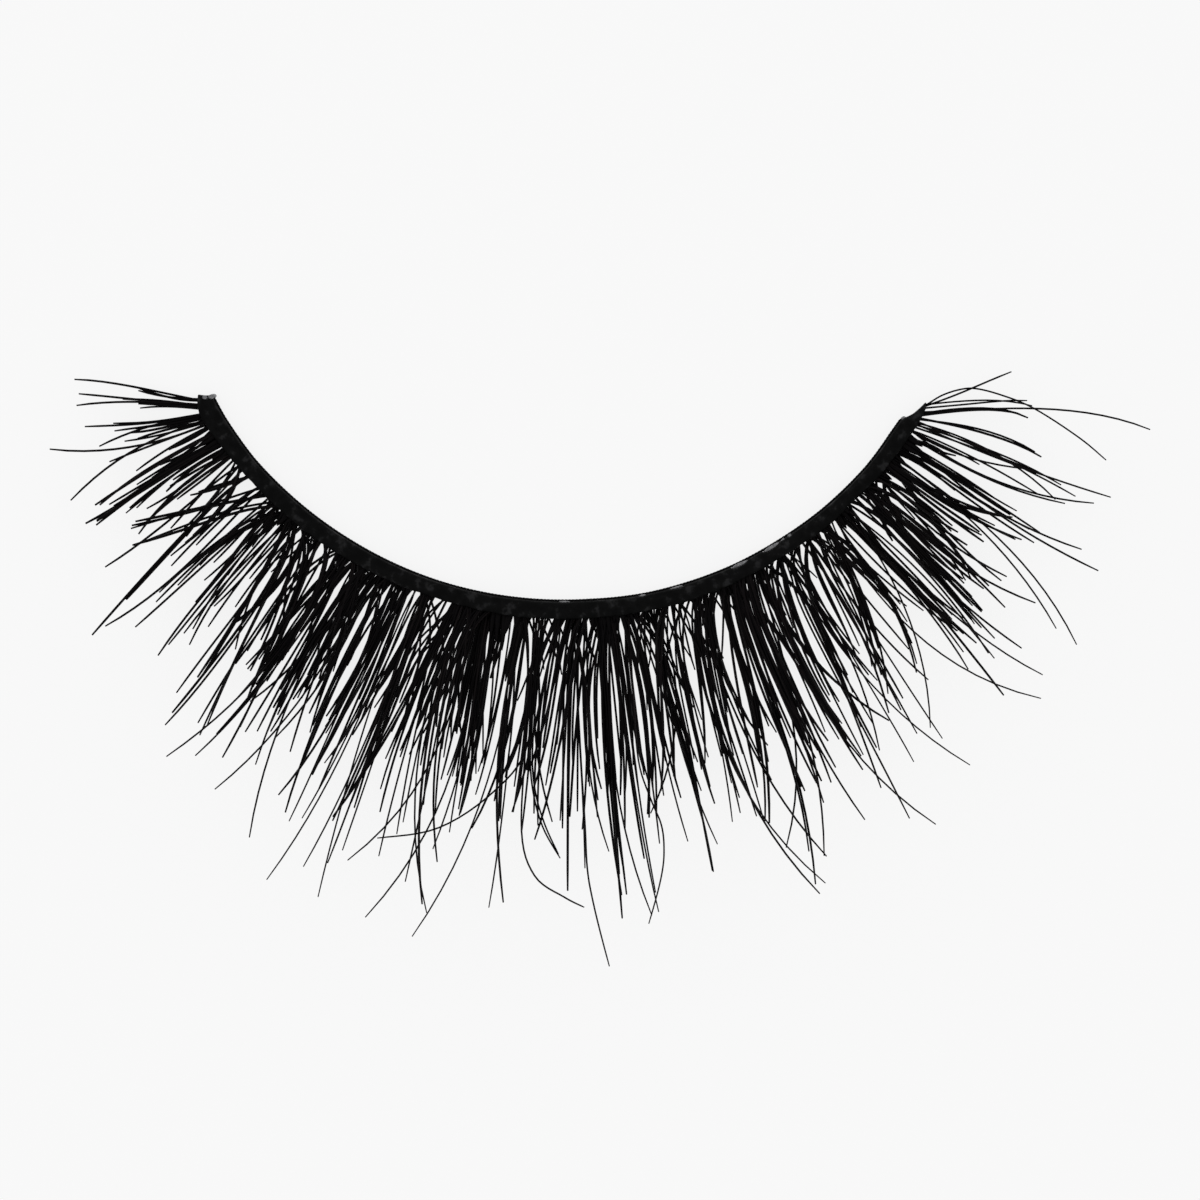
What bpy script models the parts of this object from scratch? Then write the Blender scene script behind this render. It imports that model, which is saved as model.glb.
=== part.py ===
# False eyelash strip, lying on the flat underside of its band.
# The inner corner of the eye is at -X, the outer corner at +X, and the lashes point towards -Y.
# The origin is the middle of the band's underside, on its centre line. Metres, +Z up.

import math
from collections import namedtuple

import bmesh
import bpy
from mathutils import Vector

# Units: every size below is in millimetres until place() or mm() turns it into metres.
MM = 0.001

# The band: a flat cord soaked in black glue, bent to the arc of the eyelid.
BAND_RADIUS = 16.1
BAND_FOOT_CHAMFER = 0.04
BAND_TOP_ROUND = 0.10
GROOVE_FLOOR = 0.14
GROOVE_LOW = 0.12
GROOVE_HIGH = 0.58
GROOVE_LEAST_WALL = 0.06
BAND_STEP = 1.7

# Where the band changes section: along the band, inner edge, outer edge, height.
Station = namedtuple("Station", "along inner outer top")
BAND_ENDS = (
    Station(-17.22, -0.02, 0.24, 0.62),
    Station(-17.10, -0.12, 0.36, 0.68),
    Station(-16.80, -0.22, 0.40, 0.70),
    Station(-16.40, -0.24, 0.40, 0.70),
    Station(15.60, -0.24, 0.40, 0.70),
    Station(16.00, -0.22, 0.39, 0.70),
    Station(16.30, -0.12, 0.37, 0.68),
    Station(16.60, -0.05, 0.33, 0.68),
    Station(16.80, 0.00, 0.26, 0.62),
    Station(16.92, 0.04, 0.14, 0.54),
)

# The thread along the band's inner edge.
THREAD_PLACE = -0.34
THREAD_RADIUS = 0.065
THREAD_HEIGHT = 0.35
THREAD_BEVEL = 1
THREAD_START = -16.75
THREAD_END = 15.80

# Bits of clear glue left at the ends: along the band, place across it, and the three sizes.
GlueTip = namedtuple("GlueTip", "name along across length width height")
GLUE_TIPS = (
    GlueTip("glue_tip_inner", -17.06, -0.34, 0.42, 0.26, 0.44),
    GlueTip("glue_tip_outer", 16.10, -0.40, 0.38, 0.26, 0.40),
)
GLUE_SEGMENTS = 8
GLUE_RINGS = 6

# The heads of the tufts, which fill the groove in the band's outer edge.
HEAD_INNER = 0.17
HEAD_OUTER = 0.46
HEAD_LOW = 0.16
HEAD_HIGH = 0.54
HEAD_CORNER = 0.07
HEAD_GAP = 0.05
HEAD_STEP = 1.1
HEADS_START = -17.04
HEADS_END = 16.58

# The locks of lashes, which rise from the heads in one even curl.
LOCK_START = 0.30
STAGGER = 0.013
STAGGERS = 4
CURL_START = 0.45
CURL_RADIUS = 17.5
CURL_FIRST_SLOPE = 0.10
CURL_STEEPEST = 0.95
LAYERS = 3
LAYER_PITCH = 0.14
LAYER_SPREAD = 0.03
LOCK_THICKNESS = 0.12
LASH_WIDTH = 0.05
LASH_ROOM = 0.05
THIN_THICKNESS = 0.08
FEWEST_IN_A_BROAD_LOCK = 3
LONG_LOCK = 7.0

# Where a lock's points lie along its reach, and its share of the full width there.
Taper = namedtuple("Taper", "share width")
LONG_TAPER = (Taper(0, 0.6), Taper(0.25, 1.0), Taper(0.5, 0.95), Taper(0.78, 0.62), Taper(1, 0.2))
SHORT_TAPER = (Taper(0, 0.6), Taper(0.35, 1.0), Taper(0.72, 0.7), Taper(1, 0.2))

# One lock of lashes, read by eye from the photo: its place along the band at the root, halfway
# and at the tip, how far from the band the tip reaches, and how many lashes lie in it.
Lock = namedtuple("Lock", "root waist tip reach lashes")

# Each tuft's locks, from the inner corner to the outer corner.
TUFTS = (
    (
        Lock(-17.00, -18.50, -19.50, 4.20, 1),
        Lock(-16.98, -17.95, -18.45, 2.15, 3),
        Lock(-16.78, -18.00, -18.73, 4.50, 1),
        Lock(-16.78, -17.68, -18.20, 2.80, 4),
        Lock(-16.48, -17.05, -17.70, 3.60, 3),
        Lock(-16.30, -16.68, -16.40, 6.40, 1),
        Lock(-16.20, -16.50, -16.75, 4.35, 1),
        Lock(-16.20, -16.72, -17.92, 6.15, 2),
    ),
    (
        Lock(-15.75, -15.88, -15.85, 5.70, 2),
        Lock(-15.62, -15.65, -15.77, 3.30, 3),
        Lock(-15.40, -15.48, -15.70, 6.40, 3),
        Lock(-15.25, -15.42, -15.42, 6.10, 2),
        Lock(-15.00, -14.92, -14.55, 5.00, 3),
    ),
    (
        Lock(-14.62, -14.25, -14.00, 3.90, 2),
        Lock(-14.45, -14.22, -14.33, 6.80, 1),
        Lock(-13.88, -13.50, -13.18, 8.90, 2),
        Lock(-13.25, -13.75, -14.33, 5.45, 3),
        Lock(-13.15, -12.85, -13.15, 8.30, 2),
        Lock(-12.90, -13.95, -14.88, 5.00, 3),
    ),
    (
        Lock(-12.80, -12.15, -11.90, 5.20, 3),
        Lock(-12.35, -12.42, -12.60, 7.50, 1),
        Lock(-12.20, -12.62, -12.83, 5.90, 3),
        Lock(-11.75, -11.80, -11.62, 7.70, 3),
        Lock(-11.45, -11.58, -11.52, 6.40, 2),
        Lock(-11.30, -11.30, -11.42, 4.85, 3),
        Lock(-11.18, -11.22, -11.10, 5.60, 2),
    ),
    (
        Lock(-10.95, -10.62, -10.42, 7.50, 2),
        Lock(-10.72, -10.10, -9.50, 9.15, 2),
        Lock(-10.55, -9.85, -9.45, 6.00, 3),
        Lock(-10.45, -10.30, -10.43, 9.60, 2),
        Lock(-9.95, -9.90, -9.75, 6.10, 4),
        Lock(-9.90, -9.20, -8.78, 9.40, 5),
        Lock(-9.65, -9.30, -9.00, 7.20, 4),
        Lock(-9.25, -9.40, -9.50, 6.00, 2),
    ),
    (
        Lock(-8.90, -9.05, -9.87, 10.55, 1),
        Lock(-8.80, -8.90, -9.20, 8.75, 2),
        Lock(-8.45, -8.30, -8.27, 6.75, 6),
        Lock(-8.40, -8.38, -7.97, 9.00, 1),
        Lock(-8.15, -8.03, -7.90, 7.60, 3),
        Lock(-8.10, -8.05, -7.30, 11.60, 1),
        Lock(-8.05, -7.92, -7.78, 6.10, 4),
        Lock(-7.65, -7.70, -8.55, 10.60, 1),
        Lock(-7.60, -7.50, -7.30, 6.30, 5),
    ),
    (
        Lock(-7.05, -7.15, -6.88, 10.15, 2),
        Lock(-7.00, -7.08, -6.93, 8.50, 3),
        Lock(-6.95, -6.72, -6.95, 6.50, 6),
        Lock(-6.90, -6.62, -7.18, 9.65, 3),
        Lock(-6.55, -6.50, -6.57, 8.40, 4),
        Lock(-6.30, -6.22, -6.37, 8.90, 3),
        Lock(-6.10, -6.05, -6.60, 12.80, 1),
        Lock(-5.95, -5.95, -6.22, 7.40, 4),
        Lock(-5.95, -5.80, -5.40, 12.70, 1),
    ),
    (
        Lock(-5.80, -5.55, -5.70, 9.75, 3),
        Lock(-5.55, -5.80, -6.30, 7.80, 4),
        Lock(-5.25, -5.35, -5.50, 11.35, 2),
        Lock(-4.75, -5.02, -5.72, 9.60, 2),
        Lock(-4.60, -4.82, -5.00, 8.00, 6),
        Lock(-4.60, -4.55, -4.40, 10.50, 1),
        Lock(-4.25, -4.22, -4.05, 9.00, 1),
        Lock(-4.15, -4.38, -4.63, 6.60, 3),
    ),
    (
        Lock(-4.05, -4.05, -3.88, 6.70, 3),
        Lock(-4.00, -3.92, -3.12, 11.90, 2),
        Lock(-3.70, -3.88, -4.30, 6.40, 4),
        Lock(-3.70, -3.65, -3.08, 10.20, 2),
        Lock(-3.60, -3.60, -5.05, 11.00, 2),
        Lock(-3.55, -3.62, -3.60, 6.20, 3),
    ),
    (
        Lock(-3.30, -3.10, -4.28, 12.90, 1),
        Lock(-3.20, -3.12, -3.15, 7.20, 7),
        Lock(-3.05, -2.92, -2.85, 7.05, 3),
        Lock(-2.90, -2.85, -3.20, 9.75, 1),
        Lock(-2.75, -2.68, -2.72, 8.30, 6),
        Lock(-2.60, -2.72, -2.62, 6.90, 5),
        Lock(-2.20, -2.22, -2.47, 7.40, 5),
    ),
    (
        Lock(-1.95, -1.85, -1.80, 7.55, 6),
        Lock(-1.90, -1.82, -1.47, 11.40, 2),
        Lock(-1.75, -2.08, -3.25, 13.20, 1),
        Lock(-1.60, -1.62, -2.38, 8.70, 2),
    ),
    (
        Lock(-1.25, -1.22, -1.35, 7.90, 3),
        Lock(-1.05, -1.05, -1.22, 7.90, 4),
        Lock(-0.95, -1.00, -1.08, 8.60, 3),
        Lock(-0.80, -0.95, -0.12, 9.60, 3),
        Lock(-0.75, -0.80, -0.68, 7.90, 3),
        Lock(-0.15, -0.28, -0.52, 6.80, 3),
        Lock(-0.10, -0.20, -0.75, 8.90, 2),
    ),
    (
        Lock(0.15, 0.10, 0.10, 10.85, 2),
        Lock(0.20, 0.42, 0.50, 10.00, 4),
        Lock(0.35, 0.47, 0.93, 13.85, 1),
        Lock(0.60, 0.55, 1.08, 9.40, 1),
        Lock(0.85, 0.65, 1.00, 7.40, 3),
        Lock(0.95, 0.85, 0.50, 8.50, 2),
    ),
    (
        Lock(1.15, 1.18, 1.33, 12.00, 3),
        Lock(1.45, 1.35, 1.45, 10.00, 4),
        Lock(1.55, 1.38, 1.95, 12.00, 1),
        Lock(1.70, 1.78, 1.45, 8.60, 4),
        Lock(1.90, 1.87, 1.98, 9.80, 5),
        Lock(1.95, 1.88, 2.12, 11.90, 1),
        Lock(2.15, 2.12, 2.25, 6.80, 4),
    ),
    (
        Lock(2.45, 2.50, 2.15, 8.25, 3),
        Lock(2.55, 2.52, 2.28, 9.30, 4),
        Lock(2.60, 2.50, 1.85, 12.35, 1),
        Lock(2.80, 2.85, 3.05, 7.70, 3),
        Lock(2.95, 2.85, 3.03, 9.40, 1),
    ),
    (
        Lock(3.05, 3.42, 3.50, 10.75, 2),
        Lock(3.60, 3.55, 3.65, 7.60, 5),
        Lock(3.65, 3.60, 3.47, 10.70, 3),
        Lock(3.85, 3.80, 3.90, 8.20, 3),
        Lock(4.05, 3.98, 3.90, 6.80, 3),
    ),
    (
        Lock(4.75, 4.58, 5.80, 12.40, 1),
        Lock(4.85, 4.60, 4.72, 8.40, 7),
        Lock(4.90, 4.62, 5.57, 12.70, 2),
        Lock(4.95, 4.88, 4.90, 9.10, 2),
        Lock(5.25, 5.12, 5.10, 5.60, 5),
        Lock(5.30, 5.25, 6.07, 11.45, 2),
        Lock(5.40, 5.25, 5.05, 8.05, 2),
        Lock(5.60, 5.68, 5.45, 7.25, 3),
        Lock(6.00, 5.78, 5.05, 9.50, 2),
    ),
    (
        Lock(6.10, 6.12, 6.15, 8.80, 5),
        Lock(6.15, 6.20, 5.57, 12.30, 2),
        Lock(6.60, 6.62, 6.85, 7.80, 7),
        Lock(6.65, 6.68, 6.68, 8.70, 4),
        Lock(6.75, 6.70, 6.55, 9.50, 2),
        Lock(6.85, 6.85, 7.23, 10.75, 1),
        Lock(6.90, 6.82, 6.95, 7.50, 6),
        Lock(6.90, 6.90, 6.07, 11.40, 1),
    ),
    (
        Lock(7.45, 7.45, 7.50, 7.05, 5),
        Lock(7.50, 7.50, 8.60, 12.20, 1),
        Lock(7.55, 7.48, 7.65, 9.00, 3),
        Lock(7.80, 7.92, 8.92, 7.85, 3),
        Lock(8.15, 7.82, 7.85, 6.25, 6),
        Lock(8.50, 8.30, 8.17, 11.50, 2),
        Lock(8.55, 8.35, 7.90, 9.95, 2),
    ),
    (
        Lock(8.75, 8.93, 9.95, 11.00, 1),
        Lock(8.95, 8.95, 8.85, 9.70, 1),
        Lock(9.10, 8.98, 8.32, 8.65, 1),
        Lock(9.35, 9.15, 9.25, 6.30, 5),
        Lock(9.75, 9.60, 9.38, 8.85, 2),
        Lock(9.85, 9.67, 9.20, 7.75, 4),
    ),
    (
        Lock(10.15, 9.92, 9.77, 9.55, 1),
        Lock(10.25, 10.08, 9.10, 6.95, 6),
        Lock(10.65, 10.18, 9.45, 6.20, 4),
        Lock(10.85, 11.00, 10.72, 5.90, 5),
        Lock(10.95, 10.85, 12.20, 10.75, 1),
        Lock(11.10, 11.00, 10.25, 6.90, 2),
    ),
    (
        Lock(11.60, 11.68, 11.92, 7.50, 6),
        Lock(11.70, 11.72, 11.52, 9.70, 2),
        Lock(11.75, 11.75, 11.85, 6.90, 5),
        Lock(11.75, 11.15, 9.68, 8.95, 1),
        Lock(11.90, 11.95, 12.65, 10.15, 1),
    ),
    (
        Lock(12.30, 12.32, 12.10, 8.40, 2),
        Lock(12.35, 12.40, 12.70, 8.85, 1),
        Lock(12.50, 12.58, 12.40, 7.20, 4),
        Lock(12.70, 12.78, 12.85, 5.60, 4),
        Lock(13.05, 13.08, 13.14, 6.20, 5),
        Lock(13.20, 13.12, 13.78, 8.05, 1),
        Lock(13.30, 13.30, 13.27, 7.30, 2),
        Lock(13.65, 13.62, 13.15, 5.60, 3),
    ),
    (
        Lock(13.82, 13.82, 13.90, 4.00, 5),
        Lock(14.10, 14.10, 14.25, 5.00, 4),
        Lock(14.20, 14.38, 14.87, 6.10, 2),
        Lock(14.30, 14.50, 15.25, 5.30, 5),
        Lock(14.45, 14.53, 13.68, 10.30, 1),
    ),
    (
        Lock(15.00, 15.02, 15.34, 9.20, 2),
        Lock(15.10, 15.18, 15.30, 6.10, 5),
        Lock(15.35, 15.32, 15.40, 6.50, 3),
        Lock(15.55, 15.70, 15.88, 2.15, 4),
        Lock(15.55, 15.78, 16.38, 6.70, 1),
        Lock(15.60, 15.85, 16.80, 7.65, 2),
    ),
    (
        Lock(16.05, 16.55, 16.82, 6.20, 4),
        Lock(16.05, 16.58, 17.15, 8.10, 1),
        Lock(16.20, 17.02, 17.20, 5.00, 2),
        Lock(16.40, 17.62, 18.10, 3.85, 2),
        Lock(16.50, 18.52, 19.15, 8.35, 1),
        Lock(16.60, 17.50, 18.35, 2.80, 4),
        Lock(16.80, 18.05, 19.25, 2.55, 1),
        Lock(16.85, 18.42, 17.95, 7.30, 1),
    ),
)

# Colours and finishes: name, colour, roughness, how much light passes.
Finish = namedtuple("Finish", "name colour roughness transmission")
BAND_BLACK = Finish("band_black", (0.012, 0.012, 0.013, 1), 0.42, 0)
THREAD_BLACK = Finish("thread_black", (0.020, 0.020, 0.022, 1), 0.60, 0)
LASH_BLACK = Finish("lash_black", (0.010, 0.010, 0.011, 1), 0.35, 0)
CLEAR_GLUE = Finish("clear_glue", (0.72, 0.72, 0.72, 1), 0.25, 0.6)


def place(along, across, height):
    """A point given along the band, outwards across it and up, in metres."""
    angle = along / BAND_RADIUS
    radius = BAND_RADIUS + across
    return Vector((radius * math.sin(angle), BAND_RADIUS - radius * math.cos(angle), height)) * MM


def curl(across):
    """How far a lash has risen where it is this far across from the band's centre line."""
    run = max(0.0, across - CURL_START)
    slope = min(CURL_STEEPEST, CURL_FIRST_SLOPE + run / CURL_RADIUS)
    return CURL_RADIUS * (math.cos(math.asin(CURL_FIRST_SLOPE)) - math.cos(math.asin(slope)))


def clear_scene():
    for obj in list(bpy.data.objects):
        bpy.data.objects.remove(obj)


def new_collection(name, helper=False):
    collection = bpy.data.collections.new(name)
    bpy.context.scene.collection.children.link(collection)
    collection.hide_render = helper
    return collection


def material(finish):
    found = bpy.data.materials.get(finish.name)
    if found:
        return found
    made = bpy.data.materials.new(finish.name)
    made.use_nodes = True
    shader = made.node_tree.nodes["Principled BSDF"]
    shader.inputs["Base Color"].default_value = finish.colour
    shader.inputs["Roughness"].default_value = finish.roughness
    shader.inputs["Transmission Weight"].default_value = finish.transmission
    made.diffuse_color = finish.colour
    return made


def add_mesh(name, mesh, collection, finish):
    mesh.name = name
    mesh.materials.clear()
    mesh.materials.append(material(finish))
    obj = bpy.data.objects.new(name, mesh)
    collection.objects.link(obj)
    return obj


def smooth(mesh):
    mesh.polygons.foreach_set("use_smooth", [True] * len(mesh.polygons))


def loft(name, rings):
    """A closed mesh through rings that all have the same number of points."""
    bm = bmesh.new()
    made = [[bm.verts.new(point) for point in ring] for ring in rings]
    count = len(made[0])
    for first, second in zip(made, made[1:]):
        for i in range(count):
            j = (i + 1) % count
            bm.faces.new((first[i], first[j], second[j], second[i]))
    bm.faces.new(made[0])
    bm.faces.new(made[-1])
    bmesh.ops.recalc_face_normals(bm, faces=bm.faces)
    mesh = bpy.data.meshes.new(name)
    bm.to_mesh(mesh)
    bm.free()
    return mesh


def stations():
    """The band's sections, with the long even middle filled in."""
    made = [BAND_ENDS[0]]
    for before, after in zip(BAND_ENDS, BAND_ENDS[1:]):
        parts = max(1, round((after.along - before.along) / BAND_STEP))
        for i in range(1, parts + 1):
            share = i / parts
            made.append(Station(*(a + (b - a) * share for a, b in zip(before, after))))
    return made


def band_section(station):
    inner = station.inner
    outer = station.outer
    top = station.top
    floor = min(GROOVE_FLOOR, outer - GROOVE_LEAST_WALL)
    high = min(GROOVE_HIGH, top - BAND_TOP_ROUND)
    outline = (
        (inner + BAND_FOOT_CHAMFER, 0),
        (outer - BAND_FOOT_CHAMFER, 0),
        (outer, BAND_FOOT_CHAMFER),
        (outer, GROOVE_LOW),
        (floor, GROOVE_LOW),
        (floor, high),
        (outer - BAND_FOOT_CHAMFER / 2, high),
        (outer - BAND_TOP_ROUND, top),
        (inner + BAND_TOP_ROUND / 2, top),
        (inner, top - BAND_TOP_ROUND),
        (inner, BAND_FOOT_CHAMFER),
    )
    return [place(station.along, across, height) for across, height in outline]


def build_band(collection):
    mesh = loft("band_core", [band_section(station) for station in stations()])
    return add_mesh("band_core", mesh, collection, BAND_BLACK)


def flat_profile(name, outline, helpers):
    """A closed curve that a lock or a head is drawn along."""
    data = bpy.data.curves.new(name, "CURVE")
    data.dimensions = "2D"
    spline = data.splines.new("POLY")
    spline.points.add(len(outline) - 1)
    for point, (across, up) in zip(spline.points, outline):
        point.co = (across * MM, up * MM, 0, 1)
    spline.use_cyclic_u = True
    obj = bpy.data.objects.new(name, data)
    helpers.objects.link(obj)
    obj.display_type = "WIRE"
    return obj


def swept(name, points, widths, helpers, profile=None, depth=0.0):
    """A curve object through points, with its own width at each."""
    data = bpy.data.curves.new(name, "CURVE")
    data.dimensions = "3D"
    data.twist_mode = "Z_UP"
    data.use_fill_caps = True
    if profile:
        data.bevel_mode = "OBJECT"
        data.bevel_object = profile
    else:
        data.bevel_depth = depth
        data.bevel_resolution = THREAD_BEVEL
    spline = data.splines.new("POLY")
    spline.points.add(len(points) - 1)
    for point, where, width in zip(spline.points, points, widths):
        point.co = (*where, 1)
        point.radius = width
    obj = bpy.data.objects.new(name, data)
    helpers.objects.link(obj)
    return obj


def closed_mesh(obj):
    """The mesh that a curve or a modifier makes, with its caps welded on."""
    graph = bpy.context.evaluated_depsgraph_get()
    mesh = bpy.data.meshes.new_from_object(obj.evaluated_get(graph))
    bm = bmesh.new()
    bm.from_mesh(mesh)
    bmesh.ops.remove_doubles(bm, verts=bm.verts, dist=1e-8)
    bmesh.ops.recalc_face_normals(bm, faces=bm.faces)
    bm.to_mesh(mesh)
    bm.free()
    return mesh


def drop_slivers(mesh):
    """Leaves only the body that holds most vertices: locks that cross can enclose a sliver of space."""
    bm = bmesh.new()
    bm.from_mesh(mesh)
    left = set(bm.verts)
    bodies = []
    while left:
        body = {left.pop()}
        front = list(body)
        while front:
            vertex = front.pop()
            near = {edge.other_vert(vertex) for edge in vertex.link_edges} - body
            body |= near
            front.extend(near)
        left -= body
        bodies.append(body)
    largest = max(bodies, key=len)
    spare = [vertex for vertex in bm.verts if vertex not in largest]
    bmesh.ops.delete(bm, geom=spare, context="VERTS")
    bm.to_mesh(mesh)
    bm.free()


def arc_places(start, end, step):
    parts = max(1, math.ceil((end - start) / step))
    return [start + (end - start) * i / parts for i in range(parts + 1)]


def build_thread(collection, helpers):
    places = arc_places(THREAD_START, THREAD_END, BAND_STEP)
    points = [place(along, THREAD_PLACE, THREAD_HEIGHT) for along in places]
    curve = swept("thread_line", points, [1.0] * len(points), helpers, depth=THREAD_RADIUS * MM)
    bpy.context.view_layer.update()
    mesh = closed_mesh(curve)
    bpy.data.objects.remove(curve)
    smooth(mesh)
    return add_mesh("edge_thread", mesh, collection, THREAD_BLACK)


def build_glue_tip(tip, collection):
    bm = bmesh.new()
    bmesh.ops.create_uvsphere(bm, u_segments=GLUE_SEGMENTS, v_segments=GLUE_RINGS, radius=0.5 * MM)
    bmesh.ops.scale(bm, verts=bm.verts, vec=(tip.length, tip.width, tip.height))
    mesh = bpy.data.meshes.new(tip.name)
    bm.to_mesh(mesh)
    bm.free()
    smooth(mesh)
    obj = add_mesh(tip.name, mesh, collection, CLEAR_GLUE)
    obj.location = place(tip.along, tip.across, tip.height / 2)
    obj.rotation_euler = (0, 0, tip.along / BAND_RADIUS)
    return obj


def lock_width(lock):
    return LASH_ROOM + LASH_WIDTH * lock.lashes


def along_at(lock, across):
    """The even bend through a lock's root, its waist and its tip."""
    share = (across - LOCK_START) / (lock.reach - LOCK_START)
    half = (lock.reach / 2 - LOCK_START) / (lock.reach - LOCK_START)
    straight = lock.root + (lock.tip - lock.root) * share
    at_half = lock.root + (lock.tip - lock.root) * half
    return straight + (lock.waist - at_half) * share * (1 - share) / (half * (1 - half))


def lock_points(lock, taper, layer, stagger):
    """The lock's points. It starts inside the head, a little deeper and lower than its neighbours."""
    start = LOCK_START - stagger
    points = []
    for step in taper:
        across = start + (lock.reach - start) * step.share
        pitch = LAYER_PITCH + LAYER_SPREAD * max(0.0, across - CURL_START)
        level = (layer - (LAYERS - 1) / 2) * pitch
        height = (HEAD_LOW + HEAD_HIGH) / 2 + level + curl(across) - stagger
        points.append(place(along_at(lock, across), across, height))
    return points


def inside_head(lock, start, end):
    """The lock with its root moved in, so that it leaves its own head and not the next one."""
    room = lock_width(lock) / 2
    root = min(max(lock.root, start + room), end - room)
    return lock._replace(root=root)


def build_lock(name, lock, layer, stagger, profiles, helpers):
    broad = lock.lashes >= FEWEST_IN_A_BROAD_LOCK
    taper = LONG_TAPER if broad and lock.reach > LONG_LOCK else SHORT_TAPER
    points = lock_points(lock, taper, layer, stagger)
    widths = [step.width for step in taper]
    return swept(name, points, widths, helpers, profile=profiles[lock.lashes])


def lock_profiles(helpers):
    """One flattened outline for each number of lashes: a diamond, or a thin triangle."""
    made = {}
    for lashes in sorted({lock.lashes for tuft in TUFTS for lock in tuft}):
        half = (LASH_ROOM + LASH_WIDTH * lashes) / 2
        if lashes < FEWEST_IN_A_BROAD_LOCK:
            thick = THIN_THICKNESS / 2
            outline = ((-half, -thick), (half, -thick), (0, thick))
        else:
            thick = LOCK_THICKNESS / 2
            outline = ((-half, 0), (0, -thick), (half, 0), (0, thick))
        made[lashes] = flat_profile(f"profile_{lashes}", outline, helpers)
    return made


def head_profile(helpers):
    wide = (HEAD_OUTER - HEAD_INNER) / 2
    tall = (HEAD_HIGH - HEAD_LOW) / 2
    cut = HEAD_CORNER
    outline = (
        (-wide, -tall + cut),
        (-wide + cut, -tall),
        (wide - cut, -tall),
        (wide, -tall + cut),
        (wide, tall - cut),
        (wide - cut, tall),
        (-wide + cut, tall),
        (-wide, tall - cut),
    )
    return flat_profile("profile_head", outline, helpers)


def head_spans():
    """Where each head starts and ends: the heads share the groove and keep a small gap."""
    roots = [[lock.root for lock in tuft] for tuft in TUFTS]
    borders = [(max(a) + min(b)) / 2 for a, b in zip(roots, roots[1:])]
    starts = [HEADS_START] + [border + HEAD_GAP / 2 for border in borders]
    ends = [border - HEAD_GAP / 2 for border in borders] + [HEADS_END]
    return list(zip(starts, ends))


def build_tufts(collection, helpers):
    profiles = lock_profiles(helpers)
    head = head_profile(helpers)
    middle = (HEAD_INNER + HEAD_OUTER) / 2
    height = (HEAD_LOW + HEAD_HIGH) / 2
    for number, (locks, (start, end)) in enumerate(zip(TUFTS, head_spans()), 1):
        name = f"tuft_{number:02d}"
        layer = (number - 1) % LAYERS
        places = arc_places(start, end, HEAD_STEP)
        line = [place(along, middle, height) for along in places]
        head_curve = swept(f"{name}_head", line, [1.0] * len(line), helpers, profile=head)
        curves = []
        for i, lock in enumerate(locks):
            moved = inside_head(lock, start, end)
            stagger = STAGGER * (i % STAGGERS)
            curves.append(build_lock(f"{name}_lock_{i}", moved, layer, stagger, profiles, helpers))
        bpy.context.view_layer.update()
        fuse(name, head_curve, curves, collection, helpers)


def fuse(name, head_curve, lock_curves, collection, helpers):
    """Joins a tuft's locks to its head, as one closed body."""
    together = bpy.data.collections.new(f"{name}_locks")
    helpers.children.link(together)
    parts = []
    for curve in lock_curves:
        obj = bpy.data.objects.new(f"{curve.name}_solid", closed_mesh(curve))
        together.objects.link(obj)
        parts.append(obj)
    body = add_mesh(f"{name}_body", closed_mesh(head_curve), helpers, LASH_BLACK)
    union = body.modifiers.new("locks", "BOOLEAN")
    union.operation = "UNION"
    union.solver = "EXACT"
    union.operand_type = "COLLECTION"
    union.collection = together
    bpy.context.view_layer.update()
    mesh = closed_mesh(body)
    drop_slivers(mesh)
    add_mesh(name, mesh, collection, LASH_BLACK)
    for obj in parts + [body, head_curve, *lock_curves]:
        bpy.data.objects.remove(obj)
    bpy.data.collections.remove(together)


def main():
    clear_scene()
    collection = new_collection("false_eyelash_strip")
    helpers = new_collection("helpers", helper=True)
    build_band(collection)
    build_thread(collection, helpers)
    for tip in GLUE_TIPS:
        build_glue_tip(tip, collection)
    build_tufts(collection, helpers)


main()
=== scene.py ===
# Looks of the false eyelash strip: single tapered lashes, a glue-soaked cord band with a twisted
# edge thread, and clear dried glue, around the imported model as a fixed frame.

import math
import random
from collections import namedtuple

import bmesh
import bpy
import numpy as np
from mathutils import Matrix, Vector, noise


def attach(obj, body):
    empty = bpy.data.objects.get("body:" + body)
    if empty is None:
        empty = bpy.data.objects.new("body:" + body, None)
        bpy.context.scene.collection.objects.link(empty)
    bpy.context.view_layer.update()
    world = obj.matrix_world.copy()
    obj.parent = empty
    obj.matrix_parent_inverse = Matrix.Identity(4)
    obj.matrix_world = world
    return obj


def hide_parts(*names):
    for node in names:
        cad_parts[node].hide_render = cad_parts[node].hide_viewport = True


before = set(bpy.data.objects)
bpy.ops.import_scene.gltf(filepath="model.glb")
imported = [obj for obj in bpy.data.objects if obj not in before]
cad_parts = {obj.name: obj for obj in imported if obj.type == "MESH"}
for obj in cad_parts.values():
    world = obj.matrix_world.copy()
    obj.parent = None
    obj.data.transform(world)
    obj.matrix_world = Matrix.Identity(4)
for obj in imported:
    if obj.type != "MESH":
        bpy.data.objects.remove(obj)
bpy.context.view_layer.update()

BODY = "root"

# Units: places and sizes on the strip are in millimetres until place() or MM turns them into metres.
MM = 0.001

# The band's arc, as in the part's source.
BAND_RADIUS = 16.1

# The groove that holds the tufts' heads.
GROOVE_FLOOR = 0.16
GROOVE_LOW = 0.13
GROOVE_HIGH = 0.57
GROOVE_START = -17.1
GROOVE_END = 16.9

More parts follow.
